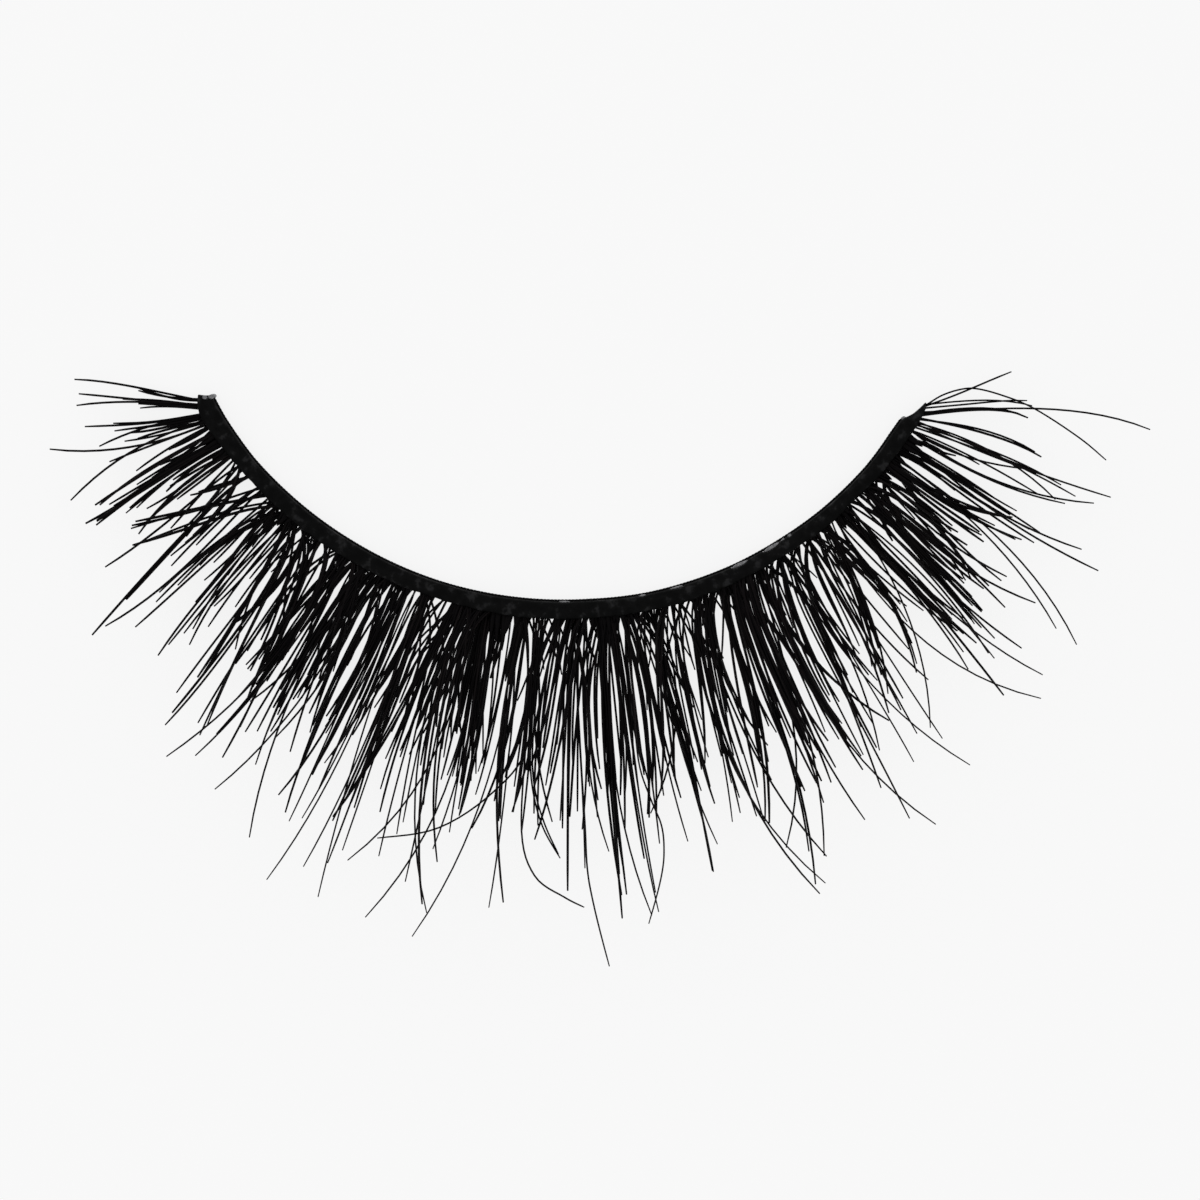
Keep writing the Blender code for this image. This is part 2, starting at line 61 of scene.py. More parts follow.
# Where the band changes section: along the band, inner edge, outer edge, height.
Station = namedtuple("Station", "along inner outer top")
BAND_SHAPE = (
    Station(-17.25, 0.04, 0.10, 0.50),
    Station(-17.20, -0.02, 0.15, 0.60),
    Station(-17.10, -0.16, 0.22, 0.66),
    Station(-17.00, -0.35, 0.27, 0.69),
    Station(-16.90, -0.37, 0.31, 0.70),
    Station(-16.55, -0.35, 0.42, 0.70),
    Station(-16.00, -0.32, 0.42, 0.70),
    Station(-15.00, -0.30, 0.40, 0.70),
    Station(-14.00, -0.27, 0.37, 0.70),
    Station(-12.00, -0.29, 0.36, 0.70),
    Station(-9.00, -0.31, 0.36, 0.70),
    Station(-5.00, -0.31, 0.31, 0.70),
    Station(-2.00, -0.33, 0.36, 0.70),
    Station(1.00, -0.34, 0.35, 0.70),
    Station(3.20, -0.29, 0.35, 0.70),
    Station(5.00, -0.29, 0.36, 0.70),
    Station(7.00, -0.28, 0.32, 0.70),
    Station(9.00, -0.30, 0.28, 0.70),
    Station(11.00, -0.29, 0.32, 0.70),
    Station(12.00, -0.30, 0.24, 0.70),
    Station(13.50, -0.31, 0.27, 0.70),
    Station(14.20, -0.34, 0.26, 0.70),
    Station(15.10, -0.39, 0.25, 0.70),
    Station(15.75, -0.39, 0.25, 0.70),
    Station(15.95, -0.34, 0.25, 0.70),
    Station(16.12, -0.23, 0.24, 0.69),
    Station(16.30, -0.13, 0.24, 0.68),
    Station(16.55, -0.05, 0.23, 0.66),
    Station(16.72, 0.00, 0.20, 0.62),
    Station(16.84, 0.03, 0.12, 0.56),
    Station(16.90, 0.05, 0.08, 0.50),
)
BAND_STEP = 0.08

# What the section keeps at its ends: its width, and the cord around the groove.
LEAST_WIDTH = 0.05
GROOVE_LIP = 0.03
GROOVE_ROOF = 0.08

# The cord's uneven edges and top: how far each strays, the noise's seed, and how closely it turns.
Waver = namedtuple("Waver", "size seed turns")
INNER_WAVERS = (Waver(0.008, 1, 2.2),)
OUTER_WAVERS = (Waver(0.03, 2, 1.7), Waver(0.02, 3, 6.0))
TOP_WAVERS = (Waver(0.02, 4, 1.5), Waver(0.01, 5, 5.0))
CREST_WAVERS = (Waver(0.008, 6, 7.0), Waver(0.012, 7, 5.0), Waver(0.008, 8, 7.0))
NOISE_STRIDE = 0.37

# The plies of the thread along the inner edge.
THREAD_OFFSET = -0.030
THREAD_HEIGHT = 0.36
THREAD_START = -16.92
THREAD_END = 15.85
PLY_COUNT = 3
PLY_SIDES = 6
PLY_RADIUS = 0.030
PLY_TWIST_RADIUS = 0.026
PLY_PITCH = 0.42
THREAD_STEP = 0.06

# Clear glue in the seam between thread and cord: middle, half length and depth.
Window = namedtuple("Window", "along half depth")
GLUE_WINDOWS = (
    Window(0.00, 0.22, 0.04),
    Window(3.10, 0.16, 0.05),
    Window(4.50, 0.28, 0.05),
    Window(7.12, 0.36, 0.10),
    Window(8.55, 0.38, 0.11),
    Window(9.12, 0.07, 0.05),
    Window(9.42, 0.10, 0.08),
)
WINDOW_OVERLAP = 0.06
WINDOW_TALL = 0.2
WINDOW_LEVEL = 0.42

GlueTip = namedtuple("GlueTip", "node along across length width height")
GLUE_TIPS = (
    GlueTip("glue_tip_inner", -16.91, -0.29, 0.24, 0.48, 0.46),
    GlueTip("glue_tip_outer", 15.91, -0.31, 0.22, 0.26, 0.38),
)

# Clear glue smeared over the band's cut inner end.
Smear = namedtuple("Smear", "along across length width height")
GLUE_SMEARS = (
    Smear(-17.04, -0.10, 0.20, 0.15, 0.68),
    Smear(-16.94, -0.33, 0.24, 0.17, 0.67),
)
SMEAR_THICK = 0.12
SMEAR_SEED = 20

# The lumps of every drop of clear glue.
LUMP_SCALE = 2.2
LUMP_DEPTH = 0.14

# Where the lashes start, across the band and up.
LASH_START = 0.08
ROOT_HEIGHT = 0.35

# Their curl and their layers, as in the part's source.
CURL_START = 0.45
CURL_RADIUS = 17.5
CURL_FIRST_SLOPE = 0.10
CURL_STEEPEST = 0.95
LAYERS = 3
LAYER_PITCH = 0.14
LAYER_SPREAD = 0.03

# A lash's radius where it is full: in a lock, on its own, past STRAY_REACH, and crossing the locks.
LASH_RADIUS = 0.0465
LONE_RADIUS = LASH_RADIUS * 0.92
STRAY_RADIUS = 0.036
STRAY_REACH = 8.9
NET_RADIUS = 0.038
LASH_SIDES = 6

# A lash's share of its full radius, by the share of its length.
LASH_SHARES = ((0.0, 1.08), (0.12, 1.0), (0.6, 1.0), (0.88, 0.93), (0.97, 0.85), (1.0, 0.64))

# How a lash is cut into steps: the least, more for each millimetre, the most, and closer at the root.
LEAST_STEPS = 6
STEPS_PER_MM = 1.3
MOST_STEPS = 18
ROOT_STEPS = 1.35

# How far single lashes differ: in thickness, height, waves along them and tone.
THICK_RANGE = (0.82, 1.12)
LASH_LIFT = 0.05
LASH_WAVE = 0.045
WAVE_TURN = 5
MOST_TONE = 0.8
LASH_SEED = 100

# The tones of the other black pieces.
HEAD_TONE = 0.2
PLAIN_TONE = 0.3

# How thick the lashes are against the usual, by place along the band.
FULLNESS = (
    (-18.0, 1.0), (-16.0, 1.05), (-15.2, 1.08), (-14.0, 1.10), (-12.0, 1.06), (-10.4, 1.02),
    (-8.4, 1.1), (-7.4, 1.0), (-6.0, 0.93), (-5.0, 1.0), (-4.0, 1.02), (-3.0, 1.0), (-2.0, 0.92),
    (-1.0, 0.98), (0.0, 1.0), (1.0, 1.02), (2.0, 1.0), (3.0, 0.95), (4.0, 0.93), (5.0, 0.96),
    (6.0, 1.1), (7.0, 1.1), (8.0, 0.88), (10.0, 0.92), (12.0, 0.96), (14.0, 1.03), (16.0, 0.88),
)

# One lock of lashes, read from the photo: its place along the band at the root, halfway
# and at the tip, how far from the band the tip reaches, and how many lashes lie in it.
Lock = namedtuple("Lock", "root waist tip reach lashes")

# Each tuft's locks, from the inner corner to the outer corner, as the values of a Lock.
LOCK_ROWS = (
    (
        (-17.00, -18.50, -19.50, 4.20, 1), (-17.00, -17.66, -18.46, 2.16, 2),
        (-16.85, -18.05, -19.05, 4.25, 1), (-16.78, -18.00, -18.73, 4.50, 1),
        (-16.68, -17.54, -18.19, 2.77, 3), (-16.65, -17.40, -17.92, 2.30, 2),
        (-16.50, -17.22, -18.03, 4.55, 1), (-16.48, -17.05, -17.70, 3.60, 3),
        (-16.40, -16.78, -17.35, 3.15, 2), (-16.45, -17.10, -17.33, 4.40, 1),
        (-16.22, -16.68, -17.03, 3.45, 3), (-16.02, -16.70, -17.92, 6.15, 1),
        (-16.30, -16.68, -16.40, 6.40, 1), (-15.98, -16.44, -16.75, 4.35, 1),
        (-15.94, -16.10, -16.07, 3.65, 1),
    ),
    (
        (-15.78, -15.90, -16.00, 2.15, 2), (-15.75, -15.88, -15.85, 5.70, 2),
        (-15.62, -15.65, -15.77, 3.30, 5), (-15.40, -15.48, -15.70, 6.40, 4),
        (-15.32, -15.50, -15.53, 6.00, 2), (-15.25, -15.42, -15.42, 6.10, 2),
        (-15.42, -15.45, -15.36, 4.90, 5), (-15.12, -15.12, -15.08, 3.15, 5),
        (-15.20, -15.32, -15.10, 4.45, 1), (-15.00, -14.92, -14.55, 5.00, 4),
        (-14.85, -14.78, -14.92, 4.15, 1), (-14.72, -14.68, -14.60, 3.00, 1),
    ),
    (
        (-14.62, -14.25, -14.00, 3.90, 1), (-14.45, -14.22, -14.33, 6.80, 1),
        (-14.30, -13.85, -13.50, 3.65, 1), (-13.95, -14.12, -14.50, 2.50, 3),
        (-13.88, -13.50, -13.18, 8.90, 2), (-13.55, -13.55, -13.55, 3.70, 1),
        (-13.32, -13.25, -13.35, 3.85, 2), (-13.30, -13.22, -13.12, 4.85, 1),
        (-13.20, -13.12, -13.03, 3.60, 1), (-13.15, -12.85, -13.15, 8.30, 1),
        (-13.45, -13.40, -13.40, 4.60, 1), (-13.25, -13.75, -14.33, 5.45, 3),
        (-13.35, -14.05, -14.75, 5.10, 1), (-12.90, -13.95, -14.88, 5.00, 3),
    ),
    (
        (-12.80, -12.15, -11.90, 5.20, 3), (-12.20, -12.62, -12.83, 5.90, 2),
        (-12.30, -12.55, -12.60, 4.40, 2), (-12.38, -12.62, -12.67, 6.25, 1),
        (-12.45, -12.55, -12.57, 5.20, 1), (-12.35, -12.42, -12.60, 7.50, 1),
        (-12.60, -12.40, -12.33, 3.60, 1), (-11.95, -12.02, -12.15, 4.35, 1),
        (-11.75, -11.80, -11.62, 7.70, 3), (-11.68, -11.90, -11.78, 3.60, 3),
        (-11.60, -11.52, -11.45, 4.90, 1), (-11.45, -11.58, -11.52, 6.40, 1),
        (-11.55, -11.72, -11.40, 6.05, 1), (-11.40, -11.55, -11.18, 6.60, 1),
        (-11.30, -11.30, -11.42, 4.85, 1), (-11.18, -11.22, -11.10, 5.60, 1),
        (-11.15, -11.12, -11.05, 3.15, 1), (-11.02, -11.00, -10.88, 4.35, 1),
    ),
    (
        (-10.95, -10.62, -10.42, 7.50, 2), (-11.00, -10.85, -10.08, 5.65, 1),
        (-10.72, -10.10, -9.50, 9.15, 2), (-10.85, -10.72, -10.63, 8.35, 1),
        (-10.45, -10.30, -10.43, 9.60, 2), (-10.55, -9.85, -9.45, 6.00, 3),
        (-10.30, -9.75, -9.20, 4.20, 5), (-10.05, -10.12, -10.56, 5.00, 4),
        (-9.95, -9.90, -9.75, 6.10, 3), (-9.95, -9.92, -9.78, 8.80, 1),
        (-9.90, -9.20, -8.78, 9.40, 4), (-9.65, -9.30, -9.00, 7.20, 4),
        (-9.25, -9.40, -9.50, 6.00, 2), (-9.30, -9.32, -9.60, 5.90, 1),
        (-9.15, -9.15, -9.17, 6.45, 1), (-9.10, -9.05, -9.07, 3.80, 1),
    ),
    (
        (-8.95, -8.82, -8.88, 4.40, 3), (-8.85, -8.88, -8.75, 5.00, 3),
        (-8.80, -8.80, -8.82, 6.00, 1), (-8.45, -8.30, -8.27, 6.75, 5),
        (-8.60, -8.42, -8.30, 4.20, 6), (-8.75, -8.65, -8.60, 3.20, 3),
        (-7.95, -8.05, -8.10, 3.40, 3), (-7.70, -7.70, -7.66, 4.60, 1),
        (-8.35, -8.28, -8.10, 8.00, 2), (-8.60, -8.85, -9.00, 2.70, 1),
        (-8.90, -9.05, -9.87, 10.55, 1), (-8.75, -8.82, -9.37, 9.90, 1),
        (-8.80, -8.90, -9.20, 8.75, 2), (-8.85, -9.00, -9.32, 7.40, 1),
        (-8.70, -8.62, -8.62, 8.10, 1), (-8.50, -8.45, -8.38, 7.85, 1),
        (-8.40, -8.38, -7.97, 9.00, 1), (-8.15, -8.03, -7.90, 7.60, 3),
        (-8.05, -7.92, -7.78, 6.10, 4), (-7.75, -7.85, -7.90, 5.00, 3),
        (-7.60, -7.50, -7.30, 6.30, 5), (-7.85, -7.60, -7.28, 6.20, 2),
        (-8.00, -8.20, -8.95, 7.00, 1), (-7.65, -7.70, -8.55, 10.60, 1),
        (-8.00, -7.82, -7.37, 7.95, 1), (-8.10, -8.05, -7.30, 11.60, 1),
        (-7.40, -7.42, -7.12, 6.95, 1),
    ),
    (
        (-7.25, -7.35, -7.40, 4.50, 3), (-7.15, -7.02, -6.95, 4.00, 3),
        (-7.20, -7.30, -7.85, 7.70, 1), (-7.00, -7.08, -6.93, 8.50, 3),
        (-7.05, -7.15, -6.88, 10.15, 2), (-6.95, -6.72, -6.95, 6.50, 5),
        (-6.90, -6.62, -7.18, 9.65, 3), (-6.75, -6.62, -6.68, 10.40, 1),
        (-6.55, -6.50, -6.57, 8.40, 4), (-6.30, -6.22, -6.37, 8.90, 3),
        (-6.20, -6.25, -6.50, 6.40, 1), (-6.45, -6.18, -6.05, 5.80, 2),
        (-6.10, -6.05, -6.60, 12.80, 1), (-6.05, -6.10, -6.40, 10.10, 1),
        (-5.95, -5.95, -6.22, 7.40, 3), (-5.95, -5.80, -5.40, 12.70, 1),
    ),
    (
        (-5.85, -5.62, -5.90, 4.60, 3), (-5.55, -5.80, -6.30, 7.80, 3),
        (-5.80, -5.55, -5.70, 9.75, 3), (-5.75, -5.45, -5.25, 9.00, 2),
        (-5.38, -5.24, -5.47, 8.60, 2), (-5.38, -5.38, -5.50, 11.35, 2),
        (-5.32, -5.28, -5.22, 10.70, 1), (-5.55, -5.60, -5.98, 11.80, 1),
        (-5.20, -5.32, -5.70, 5.10, 1), (-4.24, -4.76, -5.00, 8.00, 5),
        (-4.32, -4.68, -4.72, 8.85, 2), (-4.15, -4.42, -4.63, 6.60, 3),
        (-4.30, -4.50, -4.40, 10.50, 1), (-4.22, -4.66, -4.80, 5.60, 3),
        (-4.35, -4.98, -5.72, 9.60, 2), (-4.20, -4.10, -3.05, 12.20, 1),
        (-4.25, -4.22, -4.05, 9.00, 1), (-4.35, -4.38, -4.15, 9.50, 1),
    ),
    (
        (-3.95, -4.18, -4.40, 5.50, 3), (-3.70, -3.86, -4.30, 6.40, 4),
        (-4.05, -4.05, -3.88, 6.70, 4), (-3.60, -3.60, -5.05, 11.00, 1),
        (-4.00, -3.92, -3.12, 11.90, 2), (-3.85, -3.72, -3.65, 11.20, 1),
        (-3.75, -3.58, -3.45, 5.00, 3), (-3.50, -3.55, -3.55, 6.20, 4),
        (-3.70, -3.65, -3.08, 10.20, 2),
    ),
    (
        (-3.30, -3.42, -3.20, 5.60, 5), (-3.32, -3.30, -3.26, 5.20, 4),
        (-3.18, -3.20, -3.12, 5.60, 4), (-3.20, -3.12, -3.15, 7.20, 7),
        (-3.05, -2.92, -2.85, 7.05, 5), (-3.00, -2.95, -2.83, 9.00, 1),
        (-2.90, -2.85, -3.20, 9.75, 1), (-3.30, -3.10, -4.28, 12.90, 1),
        (-2.75, -2.68, -2.72, 8.30, 6), (-2.60, -2.72, -2.62, 6.90, 5),
        (-2.45, -2.62, -2.45, 6.60, 1), (-2.18, -2.18, -2.45, 7.40, 6),
        (-2.28, -2.38, -2.56, 3.40, 4),
    ),
    (
        (-1.95, -1.85, -1.80, 7.55, 5), (-1.90, -1.82, -1.47, 11.40, 2),
        (-1.72, -1.60, -1.70, 11.65, 1), (-1.80, -1.75, -1.65, 8.20, 1),
        (-1.65, -1.58, -1.62, 6.60, 1), (-2.12, -2.06, -1.98, 3.00, 4),
        (-1.60, -1.62, -2.38, 8.70, 2), (-1.75, -2.08, -3.25, 13.20, 1),
    ),
    (
        (-1.00, -1.15, -1.75, 6.80, 2), (-1.15, -1.18, -1.60, 6.30, 1),
        (-0.95, -1.10, -1.52, 3.60, 1), (-1.25, -1.22, -1.35, 7.90, 3),
        (-1.05, -1.05, -1.22, 7.90, 4), (-0.95, -1.00, -1.08, 8.60, 3),
        (-0.80, -0.90, -0.35, 8.20, 1), (-0.75, -0.80, -0.68, 7.90, 3),
        (-0.55, -0.72, -0.65, 8.35, 1), (-0.35, -0.45, -0.75, 6.80, 2),
        (-0.45, -0.60, -0.90, 6.30, 2), (-0.15, -0.28, -0.52, 6.80, 3),
        (-0.10, -0.20, -0.75, 8.90, 2), (-0.05, -0.15, -0.30, 6.05, 2),
        (-0.30, -0.62, -0.88, 2.60, 1), (-0.88, -0.58, -0.25, 2.50, 1),
        (-0.60, -0.32, -0.02, 2.20, 1), (-0.10, -0.40, -0.70, 1.90, 1),
    ),
    (
        (0.00, -0.02, -0.03, 8.45, 2), (0.15, 0.10, 0.10, 10.85, 2),
        (0.30, 0.25, 0.12, 8.00, 2), (0.20, 0.42, 0.50, 10.00, 1),
        (0.45, 0.38, 0.35, 7.80, 1), (0.85, 0.65, 1.00, 7.40, 3),
        (0.75, 0.58, 0.70, 6.85, 1), (0.65, 0.75, 0.85, 8.05, 1),
        (0.95, 0.85, 0.50, 8.50, 2), (0.60, 0.55, 1.08, 9.40, 1),
        (1.00, 0.92, 0.98, 6.20, 3),
    ),
    (
        (1.15, 1.18, 1.33, 12.00, 2), (1.30, 1.28, 1.20, 7.20, 4),
        (1.45, 1.35, 1.45, 10.00, 3), (1.50, 1.38, 1.37, 11.10, 2),
        (1.55, 1.38, 1.95, 12.00, 1), (1.70, 1.78, 1.45, 8.60, 4),
        (1.60, 1.60, 1.60, 6.20, 1), (1.90, 1.87, 1.98, 9.80, 5),
        (1.95, 1.88, 2.12, 11.90, 1), (2.05, 2.02, 2.08, 11.15, 1),
        (2.15, 2.08, 1.95, 6.40, 3), (2.15, 2.12, 2.25, 6.80, 4),
    ),
    (
        (2.45, 2.50, 2.15, 8.25, 3), (2.55, 2.52, 2.28, 9.30, 4),
        (2.70, 2.72, 2.50, 6.90, 3), (2.85, 2.72, 2.65, 7.50, 1),
        (2.80, 2.85, 3.05, 7.70, 3), (2.95, 2.85, 3.03, 9.40, 1),
        (3.05, 2.85, 2.72, 6.20, 2), (3.20, 3.05, 2.60, 7.30, 2),
    ),
    (
        (3.05, 3.42, 3.50, 10.75, 2), (3.65, 3.60, 3.47, 10.70, 3),
        (3.35, 3.32, 3.73, 9.75, 1), (3.60, 3.55, 3.65, 7.60, 5),
        (3.85, 3.80, 3.90, 8.20, 3), (4.05, 3.98, 3.90, 6.80, 3),
        (3.00, 3.20, 3.60, 6.60, 2), (3.90, 3.45, 3.05, 2.70, 2),
        (3.40, 3.70, 3.95, 4.40, 2), (3.55, 3.50, 2.25, 8.10, 1),
        (3.10, 3.20, 3.02, 6.90, 3), (4.00, 4.15, 4.30, 3.00, 1),
    ),
    (
        (4.55, 4.35, 3.92, 6.60, 2), (4.85, 4.60, 4.72, 8.40, 7),
        (4.70, 4.55, 4.40, 7.60, 2), (4.60, 4.45, 4.35, 6.50, 1),
        (4.75, 4.58, 5.80, 12.40, 1), (4.90, 4.62, 5.57, 12.70, 2),
        (4.55, 4.52, 4.48, 8.80, 1), (4.60, 4.50, 4.20, 9.05, 1),
        (5.00, 4.85, 4.75, 6.60, 4), (4.95, 4.88, 4.90, 9.10, 2),
        (5.05, 5.00, 4.97, 9.40, 1), (5.25, 5.12, 5.10, 5.60, 5),
        (5.40, 5.25, 5.05, 8.05, 2), (5.30, 5.25, 6.07, 11.45, 2),
        (5.25, 5.15, 5.60, 6.65, 2), (5.60, 5.68, 5.45, 7.25, 3),
        (5.65, 5.35, 5.22, 2.90, 2), (5.85, 5.75, 5.35, 7.30, 2),
        (6.00, 5.78, 5.05, 9.50, 2), (5.75, 5.82, 5.93, 6.30, 2),
    ),
    (
        (6.10, 6.12, 6.15, 8.80, 5), (6.15, 6.20, 5.57, 12.30, 2),
        (6.35, 6.30, 6.10, 6.50, 3), (6.45, 6.35, 6.35, 6.70, 3),
        (6.35, 6.38, 6.50, 8.70, 1), (6.60, 6.62, 6.85, 7.80, 7),
        (6.65, 6.68, 6.68, 8.70, 4), (6.75, 6.70, 6.55, 9.50, 2),
        (6.90, 6.82, 6.95, 7.50, 6), (6.90, 6.90, 6.07, 11.40, 1),
        (6.80, 6.75, 5.25, 10.60, 1), (6.85, 6.85, 7.23, 10.75, 1),
        (7.00, 6.98, 7.15, 8.45, 1), (6.95, 6.88, 7.20, 7.40, 3),
        (7.00, 6.95, 6.87, 8.90, 1),
    ),
    (
        (7.35, 7.25, 7.05, 4.30, 1), (7.15, 7.05, 7.02, 4.00, 2),
        (7.45, 7.45, 7.50, 7.05, 5), (7.55, 7.48, 7.65, 9.00, 3),
        (7.60, 7.58, 7.75, 7.05, 3), (7.50, 7.50, 8.60, 12.20, 1),
        (7.70, 7.62, 7.75, 8.00, 2), (7.75, 7.60, 7.85, 8.50, 2),
        (7.25, 7.45, 7.60, 3.00, 2), (8.15, 7.82, 7.85, 6.25, 6),
        (7.80, 7.92, 8.92, 7.85, 3), (8.45, 8.05, 7.90, 2.80, 2),
        (8.55, 8.35, 7.90, 9.95, 2), (8.50, 8.30, 8.17, 11.50, 2),
        (8.05, 7.95, 7.92, 8.50, 1), (8.65, 8.45, 8.25, 8.15, 1),
        (8.70, 8.50, 8.47, 7.70, 1),
    ),
    (
        (8.75, 8.93, 9.95, 11.00, 1), (9.10, 8.98, 8.32, 8.65, 1),
        (8.95, 8.95, 8.85, 9.70, 1), (8.70, 8.70, 8.50, 6.20, 2),
        (8.85, 8.75, 8.95, 5.00, 2), (9.35, 9.15, 9.25, 6.30, 5),
        (9.25, 9.25, 9.10, 5.00, 3), (9.70, 9.55, 9.32, 4.80, 1),
        (9.85, 9.67, 9.20, 7.75, 4), (9.75, 9.60, 9.38, 8.85, 2),
    ),
    (
        (10.25, 10.08, 9.10, 6.95, 6), (10.65, 10.18, 9.45, 6.20, 4),
        (10.00, 10.25, 10.43, 6.00, 1), (10.05, 9.98, 10.38, 7.40, 1),
        (10.15, 9.92, 9.77, 9.55, 1), (10.05, 10.15, 10.18, 3.20, 3),
        (10.85, 11.00, 10.72, 5.90, 5), (10.75, 10.82, 10.95, 4.50, 2),
        (11.10, 11.00, 10.25, 6.90, 2), (10.95, 10.85, 12.20, 10.75, 1),
        (11.05, 11.02, 11.12, 4.65, 3), (10.85, 11.12, 11.45, 5.20, 1),
    ),
    (
        (11.60, 11.68, 11.92, 7.50, 6), (11.75, 11.75, 11.85, 6.90, 5),
        (11.55, 11.65, 11.32, 8.05, 1), (11.70, 11.72, 11.52, 9.70, 2),
        (11.85, 11.92, 12.10, 6.45, 3), (11.75, 11.15, 9.68, 8.95, 1),
        (11.40, 11.60, 11.65, 3.00, 3), (11.90, 11.95, 12.65, 10.15, 1),
    ),
    (
        (12.10, 12.38, 12.30, 6.70, 3), (12.30, 12.32, 12.10, 8.40, 2),
        (12.20, 12.35, 12.00, 8.10, 1), (12.50, 12.58, 12.40, 7.20, 4),
        (12.35, 12.40, 12.70, 8.85, 1), (12.90, 12.55, 12.42, 7.85, 1),
        (12.70, 12.78, 12.85, 5.60, 4), (12.60, 12.75, 12.70, 6.75, 2),
        (12.90, 12.70, 12.60, 6.35, 1), (12.05, 12.45, 12.65, 2.60, 1),
        (12.75, 12.30, 11.95, 2.40, 2), (13.05, 13.08, 13.14, 6.20, 5),
        (13.25, 13.32, 12.97, 5.90, 2), (13.30, 13.30, 13.27, 7.30, 2),
        (13.20, 13.12, 13.78, 8.05, 1), (13.65, 13.62, 13.15, 5.60, 3),
        (13.45, 13.45, 13.80, 6.55, 1), (13.60, 13.55, 13.65, 6.50, 1),
    ),
    (
        (13.82, 13.82, 13.90, 4.00, 5), (13.75, 13.72, 13.75, 4.60, 3),
        (14.10, 14.10, 14.25, 5.00, 4), (14.30, 14.50, 15.25, 5.30, 5),
        (14.20, 14.38, 14.87, 6.10, 2), (14.45, 14.53, 13.68, 10.30, 1),
        (14.40, 14.42, 13.65, 9.30, 1), (14.35, 14.45, 14.75, 4.95, 1),
        (14.50, 14.52, 14.55, 4.00, 3),
    ),
    (
        (14.90, 14.97, 14.96, 2.90, 3), (15.10, 15.18, 15.30, 6.10, 3),
        (15.35, 15.32, 15.40, 6.50, 2), (15.40, 15.42, 15.50, 5.30, 2),
        (15.00, 15.02, 15.34, 9.20, 2), (15.05, 15.08, 15.62, 8.20, 1),
        (15.55, 15.70, 15.88, 2.15, 3), (15.55, 15.78, 16.38, 6.70, 1),
        (15.60, 15.85, 16.80, 7.65, 1), (15.80, 15.95, 16.05, 3.10, 1),
        (15.85, 16.12, 16.25, 5.60, 1), (15.80, 16.05, 16.70, 4.80, 1),
    ),
    (
        (16.05, 16.55, 16.82, 6.20, 2), (16.05, 16.58, 17.15, 8.10, 1),
        (16.10, 16.60, 16.35, 6.30, 1), (16.10, 16.55, 16.72, 6.90, 1),
        (16.20, 17.02, 17.20, 5.00, 2), (16.40, 17.62, 18.10, 3.85, 2),
        (16.80, 17.90, 18.48, 3.80, 3), (16.50, 18.52, 19.15, 8.35, 1),
        (16.80, 18.05, 19.25, 2.55, 1),
    ),
)
TUFTS = [[Lock(*row) for row in rows] for rows in LOCK_ROWS]

